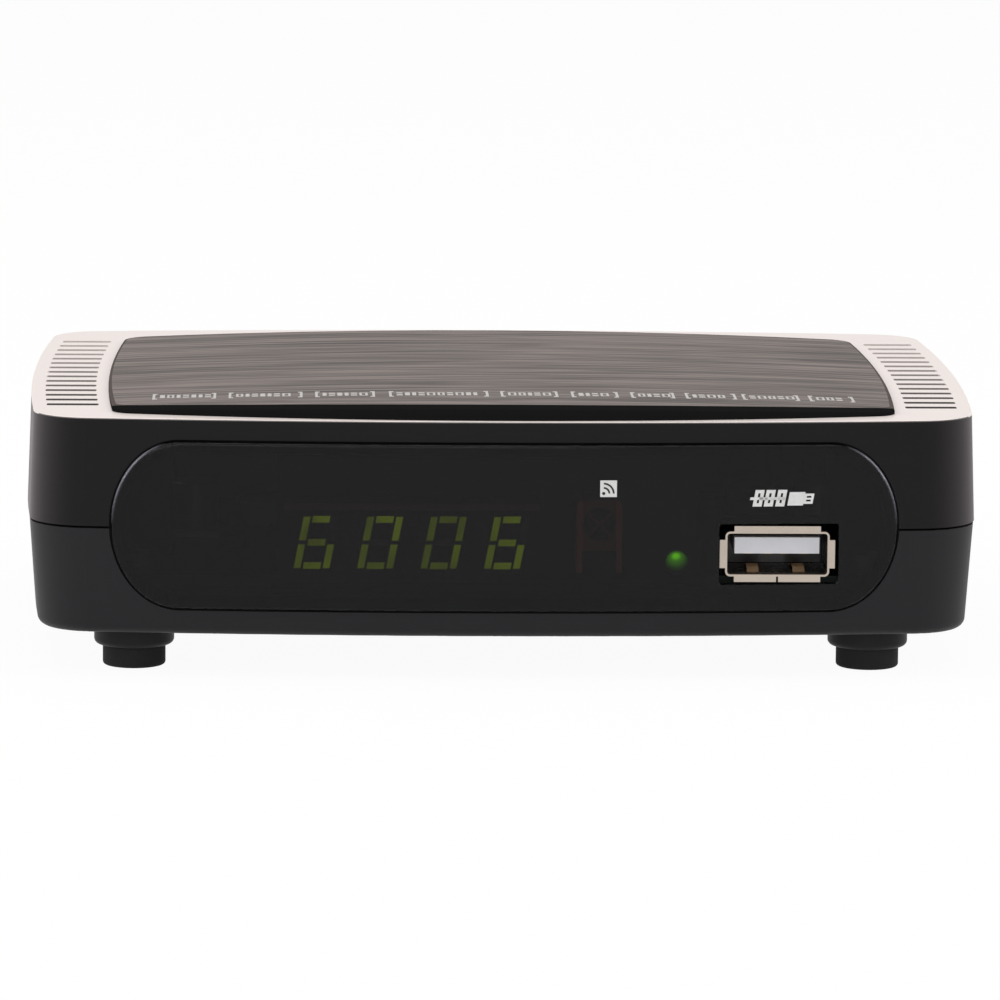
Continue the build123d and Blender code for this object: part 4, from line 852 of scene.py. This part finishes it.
# Two sprung fingers stand up from the floor of the data port's shell, bent like a shallow roof. In
# millimetres: their middles from the port's, depth behind its mouth and height over its floor, width,
# sheet thickness, and the floor over the bottom of the shell's lips
SPRING_OFFSETS = (-2.9, 2.9)
SPRING_CURVE = [(2.0, 0.0), (3.4, 0.55), (4.6, 0.75), (6.0, 0.55), (9.0, 0.02)]
SPRING_WIDTH = 1.5
SPRING_THICKNESS = 0.2
PORT_FLOOR = 0.92


class RECEIVER_OT_data_port(bpy.types.Operator):
    """Finish the front data port and add the spring fingers inside its shell"""

    bl_idname = "receiver.data_port"
    bl_label = "Data port"

    def execute(self, context):
        shell = plated_metal("nickel_plated_steel", srgb("#BEB2A6"), 0.26)
        darken_inside(shell, start_mm=0.7, reach_mm=1.6, lost=0.84)
        finish(shell, "data_port_shell")

        # The insulator loses more light in its middle, between the contacts
        white = moulded_gloss("moulded_polyamide_white", srgb("#CECED3"), 0.3)
        tree, _, place = reopen(white)
        lost = add_node(
            tree, "ShaderNodeMapRange",
            {"Value": distance_across(tree, place, PORT_X), "From Min": 1.3 * MM, "From Max": 1.9 * MM,
             "To Min": 0.7, "To Max": 0.93},
        ).outputs["Result"]
        darken_inside(white, start_mm=5.0, reach_mm=3.5, lost=lost)
        finish(white, "data_port_insulator")
        finish(plated_metal("gold_flashed_bronze", srgb("#D9B56A"), 0.25), "data_port_contacts")

        bm = bmesh.new()
        corner = Vector((PORT_X, PORT_LOW.y, PORT_LOW.z + PORT_FLOOR * MM))
        for offset in SPRING_OFFSETS:
            rows = [
                [bm.verts.new(corner + Vector((offset + edge, depth, height)) * MM)
                 for edge in (-SPRING_WIDTH / 2, SPRING_WIDTH / 2)]
                for depth, height in SPRING_CURVE
            ]
            for (a, b), (c, d) in zip(rows, rows[1:]):
                bm.faces.new((a, b, d, c))
        bmesh.ops.recalc_face_normals(bm, faces=bm.faces)
        bmesh.ops.solidify(bm, geom=bm.faces[:], thickness=SPRING_THICKNESS * MM)
        spring = plated_metal("spring_bronze", srgb("#B89A78"), 0.35)
        spring.node_tree.nodes["Principled BSDF"].inputs["Metallic"].default_value = 0.4
        new_piece("data_port_springs", bm, [spring])
        return {"FINISHED"}


# The generic sign over each rear socket
REAR_SIGNS = {
    "antenna_in_sleeve": "down", "loop_out_sleeve": "up", "video_port_shell": "frame",
    "phono_insulator_yellow": "ring", "phono_insulator_white": "ring", "phono_insulator_red": "ring",
    "power_jack_body": "plug",
}
# How far the signs' middles lie under the panel's top edge, in millimetres
REAR_SIGN_DROP = 4.2


def draw_rear_sign(bm, x, kind):
    """An arrow, a frame, a ring or a round plug's section, in millimetres."""
    if kind in ("down", "up"):
        stroke, shaft, barb = 0.3, 1.5, 0.9
        tip = 1 if kind == "up" else -1
        add_bar(bm, (x, 0.0), (stroke, shaft))
        for side in (-1, 1):
            add_bar(bm, (x + side * 0.35, tip * 0.4), (barb, stroke), -side * tip * 45.0)
    elif kind == "frame":
        add_frame(bm, (x, 0.0), (3.0, 1.3), 0.28)
    else:
        ring, stroke, lead = 0.7, 0.26, 1.2
        add_arc(bm, (x, 0.0), ring, stroke)
        if kind == "plug":
            add_disc(bm, (x, 0.0), stroke)
            for side in (-1, 1):
                add_bar(bm, (x + side * (2 * ring), 0.0), (lead, stroke))


class RECEIVER_OT_rear(bpy.types.Operator):
    """Finish the rear panel and its sockets, and print a generic sign over each socket"""

    bl_idname = "receiver.rear"
    bl_label = "Rear sockets"

    def execute(self, context):
        colours = context.scene.receiver_colours
        finish(moulded_abs("moulded_abs_panel", colours.upper_case[:], 0.5, 0.2), "rear_panel")
        finish(
            plated_metal("nickel_plated_brass", srgb("#CDC8BF"), 0.22),
            "phono_barrels", "antenna_in_sleeve", "loop_out_sleeve", "loop_out_pin", "power_jack_pin",
            "video_port_shell",
        )
        finish(
            plated_metal("gold_flashed_brass", srgb("#D8B76C"), 0.25),
            "phono_contacts", "antenna_in_contact", "video_port_contacts",
        )
        finish(moulded_gloss("moulded_pbt_yellow", srgb("#E8B90E")), "phono_insulator_yellow")
        finish(
            moulded_gloss("moulded_pbt_white", srgb("#E6E4DF")),
            "phono_insulator_white", "antenna_in_insulator", "loop_out_insulator",
        )
        finish(moulded_gloss("moulded_pbt_red", srgb("#B3161B")), "phono_insulator_red")
        finish(
            moulded_gloss("moulded_pbt_black", srgb("#151515")),
            "phono_block", "power_jack_body", "video_port_insulator", "front_header",
        )
        bm = bmesh.new()
        for socket, kind in REAR_SIGNS.items():
            low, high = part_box(socket)
            draw_rear_sign(bm, -(low.x + high.x) / 2 / MM, kind)
        origin = Vector((0.0, PANEL_HIGH.y, PANEL_HIGH.z - REAR_SIGN_DROP * MM))
        ink = printed_ink("screen_ink_panel", colours.ink[:])
        new_print("rear_signs", bm, origin, "rear", "rear_panel", ink)
        return {"FINISHED"}


class RECEIVER_OT_boards(bpy.types.Operator):
    """Finish the boards and the parts on them"""

    bl_idname = "receiver.boards"
    bl_label = "Boards"

    def execute(self, context):
        finish(
            circuit_laminate("fibre_laminate_green", srgb("#04120A"), srgb("#0B2616"), 1.2),
            "main_board", "tuner_board",
        )
        brown = circuit_laminate("paper_laminate_brown", srgb("#190E09"), srgb("#24160F"), 1.6)
        finish(brown, "front_board")
        finish(
            plated_metal("tinned_steel", srgb("#B9B8B2"), 0.35),
            "tuner_frame", "tuner_lid", "crystal", "header_pins", "led_leads", "infrared_leads",
        )
        finish(
            moulded_gloss("moulded_epoxy_black", srgb("#1B1B1C"), 0.55),
            "main_chip", "memory_chip", "flash_chip", "regulator_chips",
        )
        finish(plated_metal("anodised_aluminium_black", srgb("#1F1F20"), 0.45), "heatsink")
        finish(moulded_gloss("sintered_ferrite", srgb("#2E2C2B"), 0.6), "inductors")
        finish(plated_metal("drawn_aluminium_can", srgb("#C2C2C4"), 0.3), "electrolytic_capacitors")
        finish(moulded_gloss("fired_ceramic_tan", srgb("#9A7448"), 0.5), "ceramic_capacitors")
        return {"FINISHED"}


# The label's drawing in millimetres: its margin, the strokes of its frame and of its rules, and where
# its three rows and its one column are ruled
LABEL_MARGIN = 1.5
FRAME_STROKE, RULE_STROKE = 0.3, 0.25
RULED_ROWS = (-5.4, 0.0, 5.4)
RULED_COLUMN = -8.0


class RECEIVER_OT_label(bpy.types.Operator):
    """Finish the blank rating label and rule a thin frame on it"""

    bl_idname = "receiver.label"
    bl_label = "Rating label"

    def execute(self, context):
        finish(moulded_gloss("printed_polyester_silver", srgb("#B9B9B7"), 0.35), "rating_label")
        bm = bmesh.new()
        middle = (LABEL_LOW + LABEL_HIGH) / 2
        width, height = ((LABEL_HIGH - LABEL_LOW) / MM).xy
        add_frame(bm, (0.0, 0.0), (width - 2 * LABEL_MARGIN, height - 2 * LABEL_MARGIN), FRAME_STROKE)
        inset = 2 * (LABEL_MARGIN + FRAME_STROKE)
        for row in RULED_ROWS:
            add_bar(bm, (0.0, row), (width - inset, RULE_STROKE))
        add_bar(bm, (RULED_COLUMN, 0.0), (RULE_STROKE, height - inset))
        origin = Vector((middle.x, middle.y, LABEL_LOW.z))
        ink = printed_ink("label_ink_black", srgb("#262626"))
        new_print("label_rules", bm, origin, "underside", "rating_label", ink)
        return {"FINISHED"}


# The soft boxes: place, width and height in metres, and the stage's setting for their power
SOFT_BOXES = {
    "top_soft_box": ((0.0, 0.1, 1.0), (0.9, 0.9), "top_power"),
    "front_soft_box": ((-0.25, -1.1, 0.5), (0.8, 0.5), "front_power"),
    "left_soft_box": ((-0.95, -0.2, 0.55), (0.4, 0.5), "side_power"),
    "right_soft_box": ((0.95, -0.2, 0.55), (0.4, 0.5), "side_power"),
}
# The point in the receiver's middle that they are aimed at
AIM = Vector((0.0, 0.0, 0.02))
FLOOR_HALF_WIDTH = 3.0
# How far the floor is plain white where it is looked at; the rest is its real light
FLOOR_WHITENESS = 0.95


def add_soft_box(name, place, size, power):
    """A large soft light aimed at the receiver."""
    data = bpy.data.lights.new(name, "AREA")
    data.shape = "RECTANGLE"
    data.size, data.size_y = size
    data.energy = power
    lamp = bpy.data.objects.new(name, data)
    turn = (AIM - Vector(place)).to_track_quat("-Z", "Y").to_matrix().to_4x4()
    lamp.matrix_world = Matrix.Translation(place) @ turn
    bpy.context.scene.collection.objects.link(lamp)


def seen_directly(tree):
    """One for rays from the camera, from mirrors and through glass, and zero for the rest."""
    path = add_node(tree, "ShaderNodeLightPath")
    either = add_node(
        tree, "ShaderNodeMath",
        {0: path.outputs["Is Camera Ray"], 1: path.outputs["Is Glossy Ray"]}, operation="MAXIMUM",
    )
    return add_node(
        tree, "ShaderNodeMath",
        {0: either.outputs[0], 1: path.outputs["Is Transmission Ray"]}, operation="MAXIMUM",
    ).outputs[0]


class RECEIVER_OT_stage(bpy.types.Operator):
    """Set the pale floor, the room's light, four soft boxes and the camera"""

    bl_idname = "receiver.stage"
    bl_label = "Stage"

    def execute(self, context):
        scene = context.scene
        stage = scene.receiver_stage
        scene.view_settings.view_transform = "Standard"

        # Floor: white where it is looked at, but with a part of its real light, which keeps the shadow
        bm = bmesh.new()
        bmesh.ops.create_grid(bm, x_segments=1, y_segments=1, size=FLOOR_HALF_WIDTH)
        mesh = bpy.data.meshes.new("floor")
        bm.to_mesh(mesh)
        bm.free()
        floor = bpy.data.objects.new("floor", mesh)
        scene.collection.objects.link(floor)
        material = bpy.data.materials.new("pale_floor")
        material.use_nodes = True
        tree = material.node_tree
        tree.nodes.clear()
        paper = add_node(tree, "ShaderNodeBsdfDiffuse", {"Color": srgb("#F4F4F4")})
        glow = add_node(tree, "ShaderNodeEmission", {"Strength": 1.0})
        shown = add_node(
            tree, "ShaderNodeMath", {0: seen_directly(tree), 1: FLOOR_WHITENESS}, operation="MULTIPLY"
        )
        mixed = add_node(
            tree, "ShaderNodeMixShader",
            {0: shown.outputs[0], 1: paper.outputs[0], 2: glow.outputs[0]},
        )
        add_node(tree, "ShaderNodeOutputMaterial", {"Surface": mixed.outputs[0]})
        mesh.materials.append(material)

        # Room: white where it is looked at, and a plain even light for everything else
        world = bpy.data.worlds.new("pale_room")
        scene.world = world
        world.use_nodes = True
        tree = world.node_tree
        tree.nodes.clear()
        level = add_node(
            tree, "ShaderNodeMapRange",
            {"Value": seen_directly(tree), "To Min": stage.room_level, "To Max": 1.0},
        )
        room = add_node(tree, "ShaderNodeBackground", {"Strength": level.outputs[0]})
        add_node(tree, "ShaderNodeOutputWorld", {"Surface": room.outputs[0]})

        for name, (place, size, power) in SOFT_BOXES.items():
            add_soft_box(name, place, size, getattr(stage, power))

        # Camera: yawed to the right, tilted down and rolled by a little
        yaw, pitch, roll = stage.camera_yaw, stage.camera_pitch, stage.camera_roll
        level_ahead = Vector((math.sin(yaw), math.cos(yaw), 0.0))
        level_right = Vector((math.cos(yaw), -math.sin(yaw), 0.0))
        ahead = level_ahead * math.cos(pitch) - Vector((0.0, 0.0, math.sin(pitch)))
        level_up = level_right.cross(ahead)
        right = level_right * math.cos(roll) + level_up * math.sin(roll)
        up = level_up * math.cos(roll) - level_right * math.sin(roll)
        data = bpy.data.cameras.new("camera")
        data.sensor_width = 36.0
        data.lens = stage.camera_lens
        data.clip_end = 50.0
        camera = bpy.data.objects.new("camera", data)
        place = Vector(stage.camera_place) + Vector((0.0, CASE_FRONT, 0.0))
        axes = Matrix((right, up, -ahead)).transposed().to_4x4()
        camera.matrix_world = Matrix.Translation(place) @ axes
        scene.collection.objects.link(camera)
        scene.camera = camera
        return {"FINISHED"}


# The scene's pointers to the receiver's groups of settings
GROUPS = {
    "receiver_colours": ReceiverColours,
    "receiver_sizes": ReceiverSizes,
    "receiver_stage": ReceiverStage,
}
OPERATORS = [
    RECEIVER_OT_case, RECEIVER_OT_bezel, RECEIVER_OT_top_plate, RECEIVER_OT_window, RECEIVER_OT_display,
    RECEIVER_OT_data_port, RECEIVER_OT_rear, RECEIVER_OT_boards, RECEIVER_OT_label, RECEIVER_OT_stage,
]


class RECEIVER_PT_panel(bpy.types.Panel):
    """The receiver's sizes, colours and steps"""

    bl_idname = "RECEIVER_PT_panel"
    bl_label = "TV Receiver"
    bl_space_type = "VIEW_3D"
    bl_region_type = "UI"
    bl_category = "Receiver"

    def draw(self, context):
        for pointer in GROUPS:
            group = getattr(context.scene, pointer)
            box = self.layout.box()
            for key in group.bl_rna.properties.keys():
                if key not in ("rna_type", "name"):
                    box.prop(group, key)
        for operator in OPERATORS:
            self.layout.operator(operator.bl_idname)


CLASSES = [*GROUPS.values(), *OPERATORS, RECEIVER_PT_panel]


def register():
    for cls in CLASSES:
        bpy.utils.register_class(cls)
    for pointer, group in GROUPS.items():
        setattr(bpy.types.Scene, pointer, PointerProperty(type=group))


def unregister():
    for pointer in GROUPS:
        delattr(bpy.types.Scene, pointer)
    for cls in reversed(CLASSES):
        bpy.utils.unregister_class(cls)


def main():
    """Register the add-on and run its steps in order."""
    register()
    for operator in OPERATORS:
        group, step = operator.bl_idname.split(".")
        getattr(getattr(bpy.ops, group), step)()


if __name__ == "__main__":
    main()
